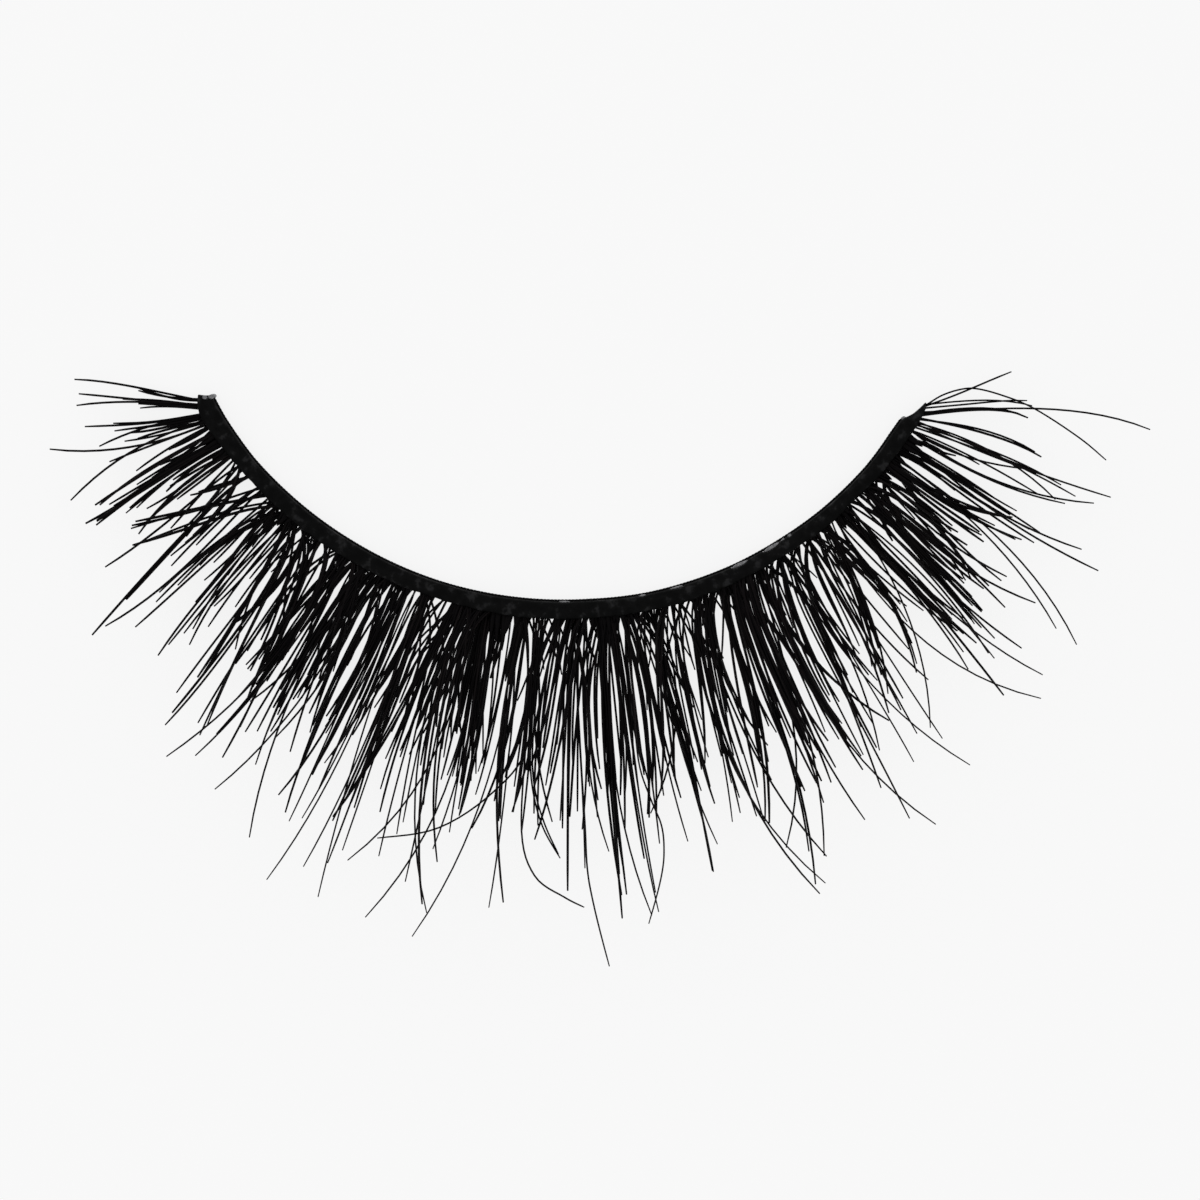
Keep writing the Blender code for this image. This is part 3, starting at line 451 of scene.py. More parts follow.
# Single lashes with a bend of their own: the tuft that holds each, its radius, and its places along
# the band and across it.
Stray = namedtuple("Stray", "tuft radius places")
STRAYS = (
    Stray(8, 0.045, (
        (-5.40, 0.1), (-5.19, 0.34), (-4.86, 0.84), (-4.67, 1.2), (-4.28, 1.9), (-3.95, 2.8), (-3.8, 3.7),
    )),
    Stray(8, 0.045, (
        (-5.50, 0.1), (-5.31, 0.46), (-4.97, 1.12), (-4.75, 1.81), (-4.60, 2.58), (-4.52, 3.6),
        (-4.50, 4.6),
    )),
    Stray(8, 0.042, (
        (-4.45, 0.1), (-4.74, 0.4), (-5.04, 0.96), (-5.16, 1.47), (-5.28, 2.3), (-5.38, 3.4),
    )),
    Stray(8, 0.042, (
        (-4.00, 0.1), (-4.27, 0.52), (-4.64, 1.15), (-4.98, 1.78), (-5.18, 2.34), (-5.35, 3.2),
        (-5.50, 4.4),
    )),
    Stray(8, 0.045, (
        (-3.80, 0.3), (-4.17, 1.07), (-4.53, 1.63), (-4.82, 2.22), (-4.95, 2.86), (-5.10, 3.8),
        (-5.20, 4.9),
    )),
    Stray(8, 0.045, (
        (-3.85, 0.7), (-4.33, 1.6), (-4.69, 2.16), (-4.92, 2.77), (-4.98, 3.4), (-5.05, 4.6),
    )),
    Stray(8, 0.042, (
        (-4.15, 0.1), (-4.60, 1.2), (-4.95, 2.2), (-5.12, 3.0), (-5.22, 4.2), (-5.28, 5.2),
    )),
    Stray(8, 0.042, (
        (-4.62, 0.1), (-4.90, 0.9), (-5.05, 1.6), (-5.13, 2.4), (-5.18, 3.6), (-5.16, 5.0),
    )),
    Stray(8, 0.042, (
        (-5.62, 0.1), (-5.36, 1.0), (-5.16, 1.6), (-4.98, 2.3), (-4.85, 3.1), (-4.75, 4.2),
    )),
    Stray(12, 0.036, (
        (-0.95, 0.3), (-1.00, 3.0), (-1.12, 5.5), (-1.90, 7.2), (-3.15, 8.9), (-4.55, 9.85),
    )),
    Stray(12, 0.036, (
        (-1.05, 0.3), (-1.12, 5.0), (-1.08, 8.6), (-0.70, 10.3), (0.00, 11.1), (0.45, 11.5),
    )),
    Stray(12, 0.036, (
        (-0.80, 0.3), (-0.95, 3.0), (-0.98, 5.5), (-0.85, 7.0), (-0.55, 8.4), (-0.10, 9.6),
    )),
    Stray(12, 0.036, (
        (-0.72, 0.3), (-0.88, 3.0), (-0.92, 5.5), (-0.79, 7.0), (-0.50, 8.3), (-0.14, 9.45),
    )),
    Stray(13, 0.036, (
        (0.35, 0.3), (0.42, 3.0), (0.48, 6.0), (0.53, 8.3), (0.55, 10.0), (0.66, 11.35), (0.94, 13.8),
    )),
    Stray(15, 0.034, (
        (2.45, 0.3), (2.20, 3.5), (2.10, 6.0), (2.28, 7.5), (2.46, 8.6), (2.43, 9.6), (2.27, 10.6),
        (1.86, 12.3),
    )),
    Stray(26, 0.034, (
        (16.82, 0.12), (17.44, 0.48), (17.94, 1.0), (18.22, 1.55), (18.38, 2.5), (18.43, 3.85),
        (18.20, 5.95), (17.96, 7.28),
    )),
)
STRAY_STEPS = 6
STRAY_LIFT = 0.5

# Where lashes cross the locks: start, end, how many, and how far from the band they reach at most.
Net = namedtuple("Net", "start end count reach")
NETS = (
    Net(-14.0, -12.0, 4, 2.6), Net(-10.5, -8.7, 4, 2.6), Net(-1.5, 1.0, 6, 2.4),
    Net(3.0, 4.5, 5, 2.6), Net(5.0, 6.0, 5, 2.2), Net(7.6, 9.0, 5, 2.4),
    Net(12.0, 14.0, 5, 2.8), Net(-4.9, -3.0, 7, 6.4), Net(-6.4, -5.0, 3, 6.6),
    Net(2.6, 4.4, 3, 5.6), Net(12.2, 14.0, 3, 5.4), Net(-1.2, 0.8, 8, 1.9),
    Net(9.4, 10.6, 4, 2.0), Net(-8.0, -6.6, 4, 2.4),
)
NET_SEED = 77
NET_LEAN = 0.65
NET_LEANS = (0.4, 1)
NET_REACHES = (0.6, 1.0)
NET_WAIST = 0.55

# How far the roots lean across each other, by place along the band, and how fast that fades.
ROOT_LEANS = (
    (-17.2, 0.04), (-16.2, 0.10), (-15.4, 0.25), (-14.3, 0.50), (-13.8, 0.90), (-12.2, 0.90),
    (-11.8, 0.30), (-11.0, 0.30), (-10.4, 0.80), (-8.8, 0.80), (-8.0, 0.50), (-6.0, 0.45), (-5.6, 0.35),
    (-5.3, 0.15), (-4.3, 0.15), (-4.1, 0.60), (-3.6, 0.65), (-2.0, 0.50), (-1.4, 0.80), (0.9, 0.80),
    (1.2, 0.25), (1.9, 0.30), (2.5, 0.50), (3.1, 0.95), (4.4, 0.95), (4.8, 0.60), (5.1, 0.80),
    (5.9, 0.80), (6.2, 0.55), (7.0, 0.65), (7.6, 0.85), (9.0, 0.85), (9.4, 0.50), (11.3, 0.50),
    (11.5, 0.25), (11.9, 0.30), (12.1, 0.95), (13.9, 0.95), (14.2, 0.30), (15.5, 0.30), (16.0, 0.15),
    (17.0, 0.06),
)
LEAN_FADES = (0.7, 2.6)
LEAN_SHARE = 1.5

# How much of that lean a lash takes: on its own, and in a lock.
LONE_LEANS = (0.0, 0.6)
LOCK_LEANS = (0.1, 1.0)

# A short kink at each root, smaller where the roots hardly lean.
ROOT_KINK = 0.13
KINK_FADE = 0.45
KINK_BY_LEAN = 2

# Half the width of a lock at its root, waist and tip: a base, and more for each lash.
ROOT_HALF = (0.07, 0.025)
WAIST_HALF = (0.040, 0.024)
TIP_HALF = (0.15, 0.055)

# How far chance moves a lash in its lock, and how much of its place it keeps at the root and the tip.
ROOT_SCATTER = 0.3
WAIST_SCATTER = 0.4
TIP_SCATTER = 0.3
ROOT_ORDER = 0.5
TIP_ORDER = 0.25

# How far a lock's tips spread, and its shortest lash as a share of the longest, by the lock's reach.
TIP_SPREADS = ((5.0, 1.0), (7.0, 0.8), (8.5, 0.55), (12.0, 0.4))
SHORTEST_SHARES = ((5.0, 0.78), (7.0, 0.74), (9.0, 0.66), (12.0, 0.62))
LONGEST_SHARE = 0.99

# Which way the roots mostly lean: 1 has every root lean from the outer corner's side.
LEAN_SIDES = (
    (-17.0, 0.6), (-14.0, 0.2), (-12.8, 0.7), (-12.0, -0.1), (-10.5, -0.6), (-9.0, 0.0), (-7.0, 0.4),
    (-5.0, 0.9), (-3.0, 0.9), (-1.0, 0.3), (1.0, 0.5), (3.0, 0.2), (5.0, 0.6), (7.0, 1.0), (9.0, 0.3),
    (10.5, -0.1), (11.5, -0.6), (13.0, 0.0), (15.0, -0.8), (17.0, -1.0),
)

# How many lashes are drawn for a lock's count. The others of a full lock lie hidden behind them.
SHOWN = (0, 1, 2, 2, 3, 3, 4, 4)

# The share of locks whose lashes are stuck together from root to tip, by place along the band.
STUCK_SHARES = (
    (-17.0, 0.60), (-15.8, 0.90), (-11.0, 0.90), (-9.0, 0.60), (-5.0, 0.50), (1.0, 0.50),
    (6.0, 0.55), (9.5, 0.60), (15.0, 0.60), (17.0, 0.40),
)

# What sticking does to a lock: its widths, its shortest lash, and each lash's thickness.
STUCK_ROOT = 0.8
STUCK_WAIST = 0.75
STUCK_TIP = 0.35
STUCK_LONGER = 0.03
STUCK_THICK = 1.08

# Glue soaked out of the band between the roots: place, half width along the band, and reach.
Web = namedtuple("Web", "along half reach")
WEBS = (
    Web(-16.15, 0.24, 0.80), Web(-15.25, 0.45, 1.35), Web(-12.60, 0.30, 0.55),
    Web(-11.50, 0.42, 0.85), Web(-10.10, 0.20, 0.55), Web(-9.10, 0.16, 0.50),
    Web(-8.65, 0.15, 1.20), Web(-8.10, 0.28, 0.90), Web(-7.10, 0.34, 0.75),
    Web(-6.15, 0.25, 0.85), Web(-4.00, 0.25, 1.30), Web(-3.40, 0.30, 1.00),
    Web(-2.38, 0.42, 1.80), Web(-1.80, 0.16, 0.85), Web(1.45, 0.42, 1.15),
    Web(2.05, 0.20, 0.80), Web(2.65, 0.22, 0.75), Web(5.15, 0.40, 0.70),
    Web(6.25, 0.42, 0.88), Web(7.20, 0.30, 0.72), Web(10.20, 0.20, 0.58),
    Web(11.50, 0.30, 0.85), Web(13.70, 0.28, 0.90), Web(14.30, 0.28, 1.10),
    Web(15.25, 0.34, 1.08),
)
WEB_SEED = 31
WEB_START = 0.10
WEB_PITCH = 0.15
WEB_RADIUS = 0.12
WEB_SIDES = 8
WEB_SCATTER = 0.15
WEB_SPLAY = 0.1
WEB_SIDE_LOSS = 0.35
WEB_REACHES = (0.75, 1.15)
WEB_LEVEL = 0.05
WEB_SHARES = ((0.0, 1.0), (0.45, 1.0), (0.8, 0.6), (1.0, 0.15))
WEB_STEPS = 8

# The glued heads that fill the band's groove, and how far chance moves each face.
HEAD_BACK = 0.10
HEAD_INSET = 0.035
HEAD_LOW = 0.17
HEAD_HIGH = 0.54
HEAD_ROOF = 0.09
HEAD_GAP = 0.02
HEAD_STEP = 0.35
BACK_BEVEL = 0.04
FRONT_BEVEL = 0.05
FRONT_BEVEL_TALL = 0.06
FRONT_BULGE = 0.01
FRONT_RANGE = (-0.02, 0.03)
LOW_RANGE = (-0.01, 0.02)
HIGH_RANGE = (-0.02, 0.01)


def place(along, across, height):
    """A point given along the band, outwards across it and up, in metres."""
    angle = along / BAND_RADIUS
    radius = BAND_RADIUS + across
    return Vector((radius * math.sin(angle), BAND_RADIUS - radius * math.cos(angle), height)) * MM


def curl(across):
    """How far a lash has risen where it is this far across from the band's centre line."""
    run = max(0.0, across - CURL_START)
    slope = min(CURL_STEEPEST, CURL_FIRST_SLOPE + run / CURL_RADIUS)
    return CURL_RADIUS * (math.cos(math.asin(CURL_FIRST_SLOPE)) - math.cos(math.asin(slope)))


def between(table, at):
    """The value at a place in a table of (place, value) pairs."""
    return float(np.interp(at, *zip(*table)))


def either_way(chance, size):
    return chance.uniform(-size, size)


# Materials

GREY_BLUE = 1.04
STREAK_SHARE = 0.35


def new_material(name):
    made = bpy.data.materials.new(name)
    made.use_nodes = True
    tree = made.node_tree
    shader = tree.nodes["Principled BSDF"]
    return made, tree, shader


def node(tree, kind, **settings):
    made = tree.nodes.new(kind)
    for key, value in settings.items():
        setattr(made, key, value)
    return made


def set_inputs(made, values):
    for name, value in values.items():
        made.inputs[name].default_value = value


def object_place(tree):
    """Coordinates that stay with the object."""
    return node(tree, "ShaderNodeTexCoord").outputs["Object"]


def noise_at(tree, coordinates, scale, detail, rough):
    made = node(tree, "ShaderNodeTexNoise")
    set_inputs(made, {"Scale": scale, "Detail": detail, "Roughness": rough})
    tree.links.new(coordinates, made.inputs["Vector"])
    return made.outputs["Fac"]


def ramp(tree, source, stops, target):
    """Colours a shader's input by a value, from stops of a position and a colour."""
    made = node(tree, "ShaderNodeValToRGB")
    elements = made.color_ramp.elements
    while len(elements) < len(stops):
        elements.new(0.5)
    for element, (position, colour) in zip(elements, stops):
        element.position = position
        element.color = (*colour, 1)
    tree.links.new(source, made.inputs["Fac"])
    tree.links.new(made.outputs["Color"], target)


def add_bump(tree, shader, source, strength, distance):
    bump = node(tree, "ShaderNodeBump")
    set_inputs(bump, {"Strength": strength, "Distance": distance})
    tree.links.new(source, bump.inputs["Height"])
    tree.links.new(bump.outputs["Normal"], shader.inputs["Normal"])


def grey(value):
    return (value, value, value * GREY_BLUE)


def band_material():
    made, tree, shader = new_material("band_black_look")
    where = object_place(tree)
    mottle_and_painted_glints = noise_at(tree, where, scale=2600, detail=3, rough=0.55)
    fine = noise_at(tree, where, scale=14000, detail=2, rough=0.6)
    # The lighter grey blotches in the base colour are painted glints standing in for the cord's gloss
    # highlights; the same noise makes those spots smoother.
    tones = ((0.40, grey(0.0012)), (0.56, grey(0.0022)), (0.68, grey(0.012)))
    ramp(tree, mottle_and_painted_glints, tones, shader.inputs["Base Color"])
    ramp(tree, mottle_and_painted_glints, ((0.35, grey(0.62)), (0.7, grey(0.38))), shader.inputs["Roughness"])
    add_bump(tree, shader, fine, strength=0.5, distance=0.03 * MM)
    set_inputs(shader, {"Specular IOR Level": 0.04})
    return made


def thread_material():
    made, tree, shader = new_material("thread_black_look")
    fuzz = noise_at(tree, object_place(tree), scale=20000, detail=3, rough=0.6)
    ramp(tree, fuzz, ((0.35, grey(0.002)), (0.7, grey(0.006))), shader.inputs["Base Color"])
    add_bump(tree, shader, fuzz, strength=0.4, distance=0.01 * MM)
    set_inputs(shader, {"Roughness": 0.6, "Specular IOR Level": 0.04})
    return made


def lash_material():
    """Near black with faint streaks, and a tone of each lash's own."""
    made, tree, shader = new_material("lash_black_look")
    tone = node(tree, "ShaderNodeAttribute", attribute_name="tone")
    streak = noise_at(tree, object_place(tree), scale=9000, detail=2, rough=0.5)
    mixed = node(tree, "ShaderNodeMath", operation="MULTIPLY_ADD")
    mixed.inputs[1].default_value = STREAK_SHARE
    tree.links.new(streak, mixed.inputs[0])
    tree.links.new(tone.outputs["Fac"], mixed.inputs[2])
    tones = (
        (0.1, (0.0010, 0.0008, 0.0010)),
        (0.7, (0.0020, 0.0015, 0.0018)),
        (1.0, (0.005, 0.0038, 0.004)),
    )
    ramp(tree, mixed.outputs["Value"], tones, shader.inputs["Base Color"])
    ramp(tree, streak, ((0.3, grey(0.3)), (0.7, grey(0.46))), shader.inputs["Roughness"])
    set_inputs(shader, {"Specular IOR Level": 0.03})
    return made


def glue_material():
    made, tree, shader = new_material("clear_glue_look")
    cloud = noise_at(tree, object_place(tree), scale=5000, detail=3, rough=0.55)
    ramp(tree, cloud, ((0.35, grey(0.10)), (0.7, grey(0.36))), shader.inputs["Base Color"])
    set_inputs(shader, {"Roughness": 0.22, "Transmission Weight": 0.35, "Specular IOR Level": 0.4})
    return made


def floor_material():
    """A matt floor with a glow of its own, so that it renders as pale as the photo's ground."""
    made, _, shader = new_material("floor_look")
    set_inputs(shader, {
        "Base Color": (0.11, 0.11, 0.11, 1),
        "Emission Color": (1, 1, 1, 1),
        "Emission Strength": 0.835,
        "Roughness": 0.9,
        "Specular IOR Level": 0.0,
    })
    return made


# Mesh helpers

def add_object(name, data):
    obj = bpy.data.objects.new(name, data)
    bpy.context.scene.collection.objects.link(obj)
    return obj


def add_piece(mesh, material, node_name):
    """Puts a mesh in the scene as the piece of its name."""
    mesh.materials.append(material)
    obj = add_object(mesh.name, mesh)
    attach(obj, BODY)
    if node_name:
        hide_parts(node_name)
    return obj


def shade_smooth(mesh):
    mesh.polygons.foreach_set("use_smooth", [True] * len(mesh.polygons))


def smooth_mesh(name, bm):
    """A smooth mesh from the bmesh, which is freed."""
    mesh = bpy.data.meshes.new(name)
    bm.to_mesh(mesh)
    bm.free()
    shade_smooth(mesh)
    return mesh


class Tubes:
    """Collects closed round tubes and makes one mesh of them."""

    def __init__(self, sides):
        self.sides = sides
        self.points = []
        self.faces = []
        self.tones = []

    def add(self, line, radii, tone):
        line = np.array([tuple(point) for point in line])
        ahead = np.gradient(line, axis=0)
        ahead /= np.linalg.norm(ahead, axis=1)[:, None]
        side = np.cross(ahead, (0.0, 0.0, 1.0))
        side /= np.linalg.norm(side, axis=1)[:, None]
        up = np.cross(side, ahead)
        turns = [2 * math.pi * i / self.sides for i in range(self.sides)]
        rings = []
        for middle, radius, across, above in zip(line, radii, side, up):
            spokes = [math.cos(turn) * across + math.sin(turn) * above for turn in turns]
            rings.append([middle + radius * spoke for spoke in spokes])
        self.add_rings(rings, tone)

    def add_rings(self, rings, tone):
        """A closed loft through rings of points."""
        first = len(self.points)
        count = len(rings[0])
        for ring in rings:
            self.points += [tuple(point) for point in ring]
        last = first + (len(rings) - 1) * count
        for start in range(first, last, count):
            for i in range(count):
                j = (i + 1) % count
                self.faces.append((start + i, start + count + i, start + count + j, start + j))
        self.faces.append(tuple(first + i for i in range(count)))
        self.faces.append(tuple(last + i for i in reversed(range(count))))
        self.tones += [tone] * (len(rings) * count)

    def mesh(self, name):
        made = bpy.data.meshes.new(name)
        made.from_pydata(self.points, [], self.faces)
        tone = made.attributes.new("tone", "FLOAT", "POINT")
        tone.data.foreach_set("value", self.tones)
        shade_smooth(made)
        return made


# Lashes

def along_at(lock, across):
    """The even bend through a lock's root, its waist and its tip."""
    share = (across - LASH_START) / (lock.reach - LASH_START)
    half = (lock.reach / 2 - LASH_START) / (lock.reach - LASH_START)
    straight = lock.root + (lock.tip - lock.root) * share
    at_half = lock.root + (lock.tip - lock.root) * half
    return straight + (lock.waist - at_half) * share * (1 - share) / (half * (1 - half))


def lash_height(across, layer, lift):
    pitch = LAYER_PITCH + LAYER_SPREAD * max(0.0, across - CURL_START)
    level = (layer - (LAYERS - 1) / 2) * pitch
    return ROOT_HEIGHT + level + curl(across) * (1 + LASH_LIFT * lift) + LASH_LIFT * lift


def root_shift(across, shift, fade):
    """How far a lash still is from its lock's bend, this far out from its root."""
    return shift * LEAN_SHARE * math.exp((LASH_START - across) / fade)


def root_lean(along, amounts, chance):
    """How far a root leans, to either side, and how fast that fades."""
    side = 1 if chance.random() < 0.5 + 0.5 * between(LEAN_SIDES, along) else -1
    shift = side * chance.uniform(*amounts) * between(ROOT_LEANS, along)
    return shift, chance.uniform(*LEAN_FADES)


def add_lash(tubes, lock, length, layer, radius, chance, shift=0.0, fade=1.0):
    """One tapered lash along a lock's bend, with a slight wave of its own."""
    reach = LASH_START + (lock.reach - LASH_START) * length
    steps = min(MOST_STEPS, round(LEAST_STEPS + reach * STEPS_PER_MM))
    lift = either_way(chance, 1)
    wave = either_way(chance, LASH_WAVE)
    phase = chance.uniform(0, math.pi)
    kink = either_way(chance, ROOT_KINK) * min(1.0, KINK_BY_LEAN * between(ROOT_LEANS, lock.root))
    full = radius * MM * between(FULLNESS, lock.root)
    line = []
    radii = []
    for i in range(steps + 1):
        share = (i / steps) ** ROOT_STEPS
        across = LASH_START + (reach - LASH_START) * share
        along = along_at(lock, across) + wave * math.sin(phase + WAVE_TURN * share) * share
        along += root_shift(across, shift, fade) + root_shift(across, kink, KINK_FADE)
        line.append(place(along, across, lash_height(across, layer, lift)))
        radii.append(full * between(LASH_SHARES, share))
    tubes.add(line, radii, chance.random() * MOST_TONE)


def half_width(sizes, lashes):
    base, each = sizes
    return base + each * lashes


def add_lock(tubes, lock, layer, chance):
    """The lashes of a lock: leaning across each other at the root, drawn together, and loose at the tip."""
    if lock.lashes == 1:
        radius = STRAY_RADIUS if lock.reach > STRAY_REACH else LONE_RADIUS
        shift, fade = root_lean(lock.root, LONE_LEANS, chance)
        add_lash(tubes, lock, 1.0, layer, radius, chance, shift, fade)
        return
    shown = SHOWN[lock.lashes]
    root_half = half_width(ROOT_HALF, lock.lashes)
    waist_half = half_width(WAIST_HALF, lock.lashes)
    tip_half = half_width(TIP_HALF, lock.lashes) * between(TIP_SPREADS, lock.reach)
    shortest = between(SHORTEST_SHARES, lock.reach)
    thick = LASH_RADIUS
    shift, fade = root_lean(lock.root, LOCK_LEANS, chance)
    stuck = chance.random() < between(STUCK_SHARES, lock.root)
    if stuck:
        root_half *= STUCK_ROOT
        waist_half *= STUCK_WAIST
        tip_half *= STUCK_TIP
        shortest += STUCK_LONGER
        thick *= STUCK_THICK
    longest = chance.randrange(shown)
    places = [2 * (k + 0.5) / shown - 1 for k in range(shown)]
    tips = chance.sample(places, shown)
    roots = chance.sample(places, shown)
    for k in range(shown):
        root = ROOT_ORDER * places[k] + (1 - ROOT_ORDER) * roots[k] + either_way(chance, ROOT_SCATTER)
        waist = places[k] + either_way(chance, WAIST_SCATTER)
        tip = TIP_ORDER * places[k] + (1 - TIP_ORDER) * tips[k] + either_way(chance, TIP_SCATTER)
        mine = Lock(
            lock.root + root_half * root,
            lock.waist + waist_half * waist,
            lock.tip + tip_half * tip,
            lock.reach,
            1,
        )
        length = 1.0 if k == longest else chance.uniform(shortest, LONGEST_SHARE)
        if not stuck:
            shift, fade = root_lean(lock.root, LOCK_LEANS, chance)
        add_lash(tubes, mine, length, layer, thick * chance.uniform(*THICK_RANGE), chance, shift, fade)


def smooth_path(places):
    """Points of an even curve through the given places."""
    rows = np.array(places)
    rows = np.vstack((2 * rows[0] - rows[1], rows, 2 * rows[-1] - rows[-2]))
    found = []
    for before, start, end, after in zip(rows, rows[1:], rows[2:], rows[3:]):
        for i in range(STRAY_STEPS):
            t = i / STRAY_STEPS
            straight = (end - before) * t + (2 * before - 5 * start + 4 * end - after) * t**2
            found.append(start + 0.5 * (straight + (3 * start - before - 3 * end + after) * t**3))
    return found + [rows[-2]]


def add_stray(tubes, stray, layer, chance):
    path = smooth_path(stray.places)
    line = []
    radii = []
    for number, (along, across) in enumerate(path):
        line.append(place(along, across, lash_height(across, layer, STRAY_LIFT)))
        radii.append(stray.radius * MM * between(LASH_SHARES, number / (len(path) - 1)))
    tubes.add(line, radii, chance.random() * MOST_TONE)


def head_spans():
    """Where each tuft's roots start and end along the band."""
    roots = [[lock.root for lock in tuft] for tuft in TUFTS]
    borders = [(max(a) + min(b)) / 2 for a, b in zip(roots, roots[1:])]
    return list(zip([GROOVE_START] + borders, borders + [GROOVE_END]))


def add_head(tubes, span, chance):
    """The glued root block of a tuft, seen in the band's groove."""
    start, end = span
    count = max(2, round((end - start) / HEAD_STEP))
    rings = []
    for i in range(count + 1):
        along = start + HEAD_GAP + (end - start - 2 * HEAD_GAP) * i / count
        front = band_value(along, "outer") - HEAD_INSET + chance.uniform(*FRONT_RANGE)
        low = HEAD_LOW + chance.uniform(*LOW_RANGE)
        high = min(HEAD_HIGH, band_value(along, "top") - HEAD_ROOF) + chance.uniform(*HIGH_RANGE)
        outline = (
            (HEAD_BACK, low + BACK_BEVEL),
            (front - FRONT_BEVEL, low),
            (front, low + FRONT_BEVEL_TALL),
            (front + FRONT_BULGE, (low + high) / 2),
            (front, high - FRONT_BEVEL_TALL),
            (front - FRONT_BEVEL, high),
            (HEAD_BACK, high - BACK_BEVEL),
        )
        rings.append([place(along, max(across, HEAD_BACK), height) for across, height in outline])
    tubes.add_rings(rings, HEAD_TONE)


def net_lashes(span):
    """The crossing lashes whose roots fall in this span."""
    chance = random.Random(NET_SEED)
    found = []
    for net in NETS:
        for _ in range(net.count):
            root = chance.uniform(net.start, net.end)
            lean = chance.choice((-1, 1)) * chance.uniform(*NET_LEANS) * NET_LEAN
            reach = chance.uniform(*NET_REACHES) * net.reach
            if span[0] <= root < span[1]:
                found.append(Lock(root, root + lean * NET_WAIST, root + lean, reach, 1))
    return found


def build_lashes(material):
    for number, (locks, span) in enumerate(zip(TUFTS, head_spans()), 1):
        chance = random.Random(LASH_SEED + number)
        layer = (number - 1) % LAYERS
        tubes = Tubes(LASH_SIDES)
        add_head(tubes, span, chance)
        for lock in locks:
            add_lock(tubes, lock, layer, chance)
        for stray in STRAYS:
            if stray.tuft == number:
                add_stray(tubes, stray, layer, chance)
        for lock in net_lashes(span):
            add_lash(tubes, lock, 1.0, layer, NET_RADIUS, chance)
        tuft = f"tuft_{number:02d}"
        add_piece(tubes.mesh(f"{tuft}_lashes"), material, tuft)


# Band

def band_value(along, field):
    return between([(station.along, getattr(station, field)) for station in BAND_SHAPE], along)


def window_depth(along):
    """How far the cord's inner edge draws back where clear glue shows beside it."""
    depth = 0.0
    for window in GLUE_WINDOWS:
        off = abs(along - window.along) / window.half
        if off < 1:
            depth = max(depth, window.depth * math.sqrt(1 - off * off))
    return depth


def waver(along, *rows):
    """How far an edge strays here, as the sum of its rows."""
    found = 0.0
    for row in rows:
        found += row.size * noise.noise(Vector((along * row.turns, row.seed, NOISE_STRIDE * row.seed)))
    return found


def band_section(along):
    """The cord's outline at a place, round from the underside's inner end."""
    inner = band_value(along, "inner") + window_depth(along) + waver(along, *INNER_WAVERS)
    outer = band_value(along, "outer") + waver(along, *OUTER_WAVERS)
    top = band_value(along, "top") + waver(along, *TOP_WAVERS)
    outer = max(outer, inner + LEAST_WIDTH)
    floor = min(GROOVE_FLOOR, outer - GROOVE_LIP)
    high = min(GROOVE_HIGH, top - GROOVE_ROOF)
    crest = [waver(along, row) for row in CREST_WAVERS]
    wide = outer - inner
    outline = [
        (inner + 0.05 * wide, 0.0),
        (outer - 0.06 * wide, 0.0),
        (outer - 0.01, 0.03),
        (outer - 0.02, GROOVE_LOW),
        (floor, GROOVE_LOW + 0.02),
        (floor, high - 0.02),
        (outer - 0.01, high),
        (outer, high + 0.35 * (top - high)),
        (outer - 0.03 * wide, high + 0.75 * (top - high)),
        (outer - 0.12 * wide, top - 0.02),
        (outer - 0.28 * wide, top + crest[0]),
        (outer - 0.50 * wide, top + crest[1]),
        (outer - 0.72 * wide, top - 0.01 + crest[2]),
        (inner + 0.12 * wide, top - 0.04),
        (inner + 0.03 * wide, top - 0.12),
        (inner, top - 0.25),
        (inner, 0.12),
        (inner + 0.01 * wide, 0.04),
    ]
    return [place(along, across, height) for across, height in outline]


def build_band():
    start = BAND_SHAPE[0].along
    end = BAND_SHAPE[-1].along
    count = round((end - start) / BAND_STEP)
    bm = bmesh.new()
    rings = []
    for i in range(count + 1):
        rings.append([bm.verts.new(point) for point in band_section(start + (end - start) * i / count)])
    sides = len(rings[0])
    for first, second in zip(rings, rings[1:]):
        for i in range(sides):
            j = (i + 1) % sides
            bm.faces.new((first[i], first[j], second[j], second[i]))
    bm.faces.new(rings[0])
    bm.faces.new(rings[-1])
    bmesh.ops.recalc_face_normals(bm, faces=bm.faces)
    add_piece(smooth_mesh("band_cord", bm), band_material(), "band_core")


def build_thread():
    tubes = Tubes(PLY_SIDES)
    count = round((THREAD_END - THREAD_START) / THREAD_STEP)
    for ply in range(PLY_COUNT):
        line = []
        for i in range(count + 1):
            along = THREAD_START + (THREAD_END - THREAD_START) * i / count
            turn = 2 * math.pi * (along / PLY_PITCH + ply / PLY_COUNT)
            edge = band_value(along, "inner") + THREAD_OFFSET
            across = edge + PLY_TWIST_RADIUS * math.cos(turn)
            line.append(place(along, across, THREAD_HEIGHT + PLY_TWIST_RADIUS * math.sin(turn)))
        tubes.add(line, [PLY_RADIUS * MM] * len(line), PLAIN_TONE)
    add_piece(tubes.mesh("edge_thread_plies"), thread_material(), "edge_thread")


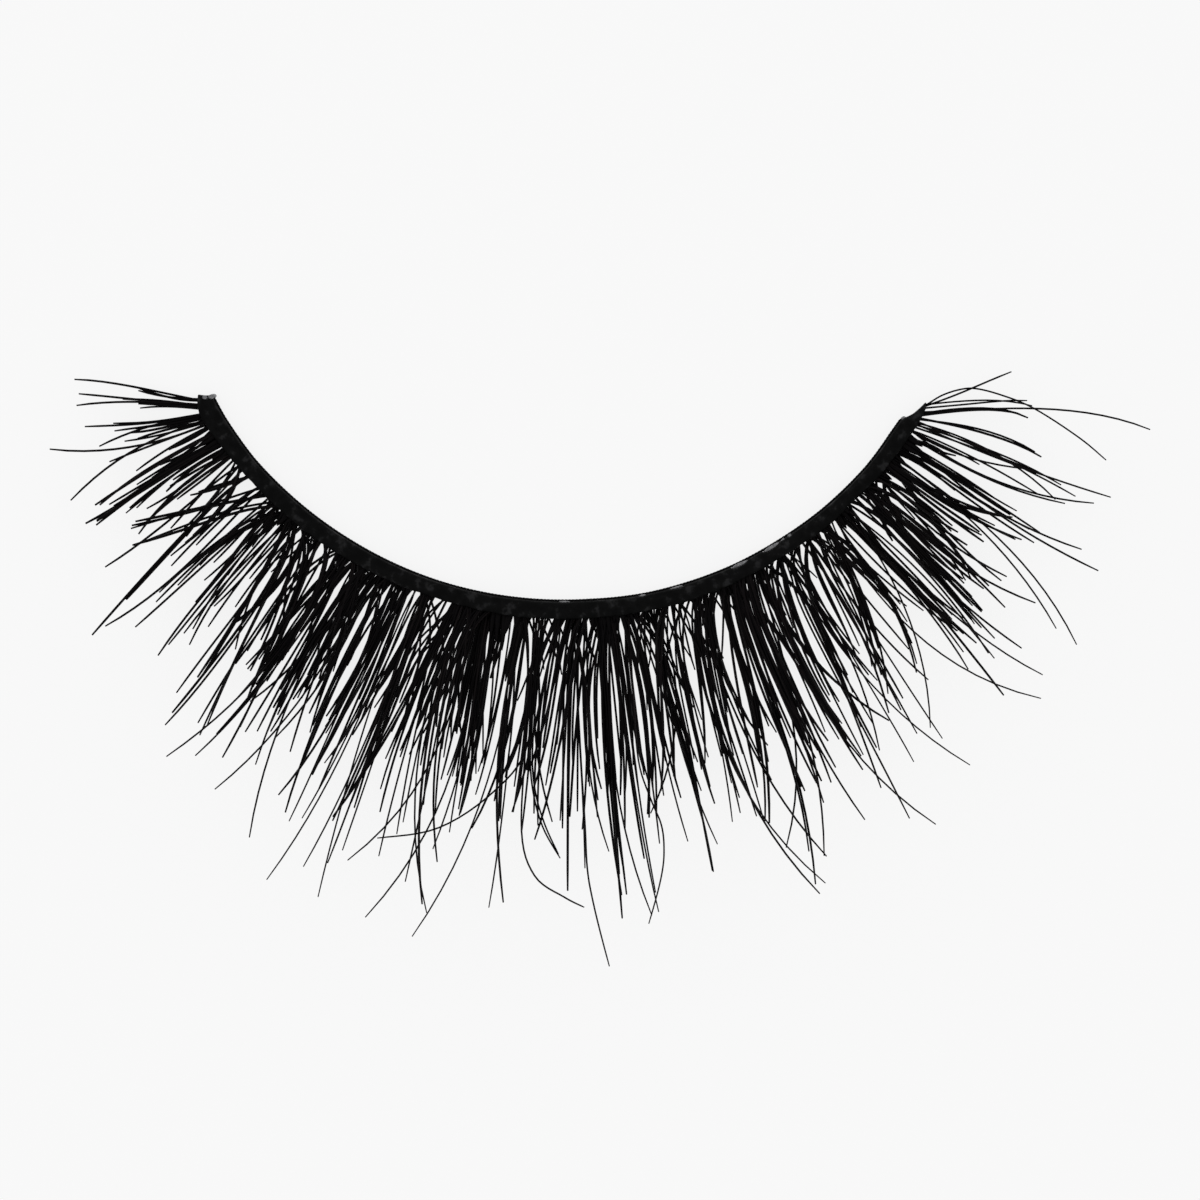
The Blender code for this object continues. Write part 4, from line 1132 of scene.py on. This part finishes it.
def build_webs(material):
    """Black glue drawn out between the roots, as one joined mesh."""
    chance = random.Random(WEB_SEED)
    tubes = Tubes(WEB_SIDES)
    for web in WEBS:
        count = max(2, round(2 * web.half / WEB_PITCH))
        for k in range(count):
            off = 2 * (k + 0.5) / count - 1
            along = web.along + web.half * (off + either_way(chance, WEB_SCATTER))
            lean = either_way(chance, WEB_SCATTER) - WEB_SPLAY * off
            reach = web.reach * (1 - WEB_SIDE_LOSS * abs(off)) * chance.uniform(*WEB_REACHES)
            level = either_way(chance, WEB_LEVEL)
            line = []
            radii = []
            for i in range(WEB_STEPS + 1):
                share = i / WEB_STEPS
                across = WEB_START + (reach - WEB_START) * share
                line.append(place(along + lean * share, across, ROOT_HEIGHT + level + curl(across)))
                radii.append(WEB_RADIUS * MM * between(WEB_SHARES, share))
            tubes.add(line, radii, PLAIN_TONE)
    add_piece(tubes.mesh("root_webs"), material, None)


def blob(name, length, width, height, seed):
    """A lumpy drop of dried glue."""
    bm = bmesh.new()
    bmesh.ops.create_icosphere(bm, subdivisions=4, radius=0.5)
    for vertex in bm.verts:
        lump = noise.noise(vertex.co * LUMP_SCALE + Vector((seed, 0, 0)))
        vertex.co *= 1 + LUMP_DEPTH * lump
        vertex.co.x *= length * MM
        vertex.co.y *= width * MM
        vertex.co.z *= height * MM
    return smooth_mesh(name, bm)


def turn_to(obj, along, across, height):
    """Puts a drop at a place, turned with the band."""
    obj.location = place(along, across, height)
    obj.rotation_euler = (0, 0, along / BAND_RADIUS)


def build_glue():
    material = glue_material()
    for seed, tip in enumerate(GLUE_TIPS):
        mesh = blob(f"{tip.node}_drop", tip.length, tip.width, tip.height, seed)
        obj = add_piece(mesh, material, tip.node)
        turn_to(obj, tip.along, tip.across, tip.height / 2)
    for number, window in enumerate(GLUE_WINDOWS, 1):
        width = window.depth + WINDOW_OVERLAP
        mesh = blob(f"seam_glue_{number}", window.half * 2, width, WINDOW_TALL, number)
        obj = add_piece(mesh, material, None)
        across = band_value(window.along, "inner") + window.depth / 2
        turn_to(obj, window.along, across, WINDOW_LEVEL)
    for number, smear in enumerate(GLUE_SMEARS, 1):
        seed = SMEAR_SEED + number
        mesh = blob(f"end_glue_{number}", smear.length, smear.width, SMEAR_THICK, seed)
        obj = add_piece(mesh, material, None)
        obj.location = place(smear.along, smear.across, smear.height)


# Setting, in metres but for the photo's middle and width in millimetres

PHOTO_MIDDLE = (1.385, 0.396)
FRAME_WIDTH = 46.57
CAMERA_DISTANCE = 2.0
CAMERA_FAR = 20
SENSOR_WIDTH = 36.0
FLOOR_HALF = 3.0
SKY_STRENGTH = 0.9
KEY_PLACE = (-0.35, 0.25, 0.6)
KEY_SIZE = 0.5
KEY_POWER = 0.5


def build_floor():
    mesh = bpy.data.meshes.new("floor")
    corners = [(x * FLOOR_HALF, y * FLOOR_HALF, 0) for x, y in ((-1, -1), (1, -1), (1, 1), (-1, 1))]
    mesh.from_pydata(corners, [], [(0, 1, 2, 3)])
    mesh.materials.append(floor_material())
    floor = add_object("floor", mesh)


def build_lights():
    world = bpy.data.worlds.new("studio")
    bpy.context.scene.world = world
    world.use_nodes = True
    set_inputs(world.node_tree.nodes["Background"], {"Color": (1, 1, 1, 1), "Strength": SKY_STRENGTH})

    light = bpy.data.lights.new("soft_key", "AREA")
    light.shape = "DISK"
    light.size = KEY_SIZE
    light.energy = KEY_POWER
    key = add_object("soft_key", light)
    key.location = KEY_PLACE
    key.rotation_euler = (-key.location).to_track_quat("-Z", "Y").to_euler()


def build_camera():
    """A camera straight above, so far away that it sees the strip as the photo does."""
    data = bpy.data.cameras.new("camera")
    data.sensor_width = SENSOR_WIDTH
    data.lens = SENSOR_WIDTH * CAMERA_DISTANCE / (FRAME_WIDTH * MM)
    data.clip_end = CAMERA_FAR
    camera = add_object("camera", data)
    camera.location = (PHOTO_MIDDLE[0] * MM, PHOTO_MIDDLE[1] * MM, CAMERA_DISTANCE)
    bpy.context.scene.camera = camera
    bpy.context.scene.view_settings.view_transform = "Standard"


def main():
    build_floor()
    build_lights()
    build_camera()
    build_band()
    build_thread()
    build_glue()
    lash_black = lash_material()
    build_lashes(lash_black)
    build_webs(lash_black)


main()
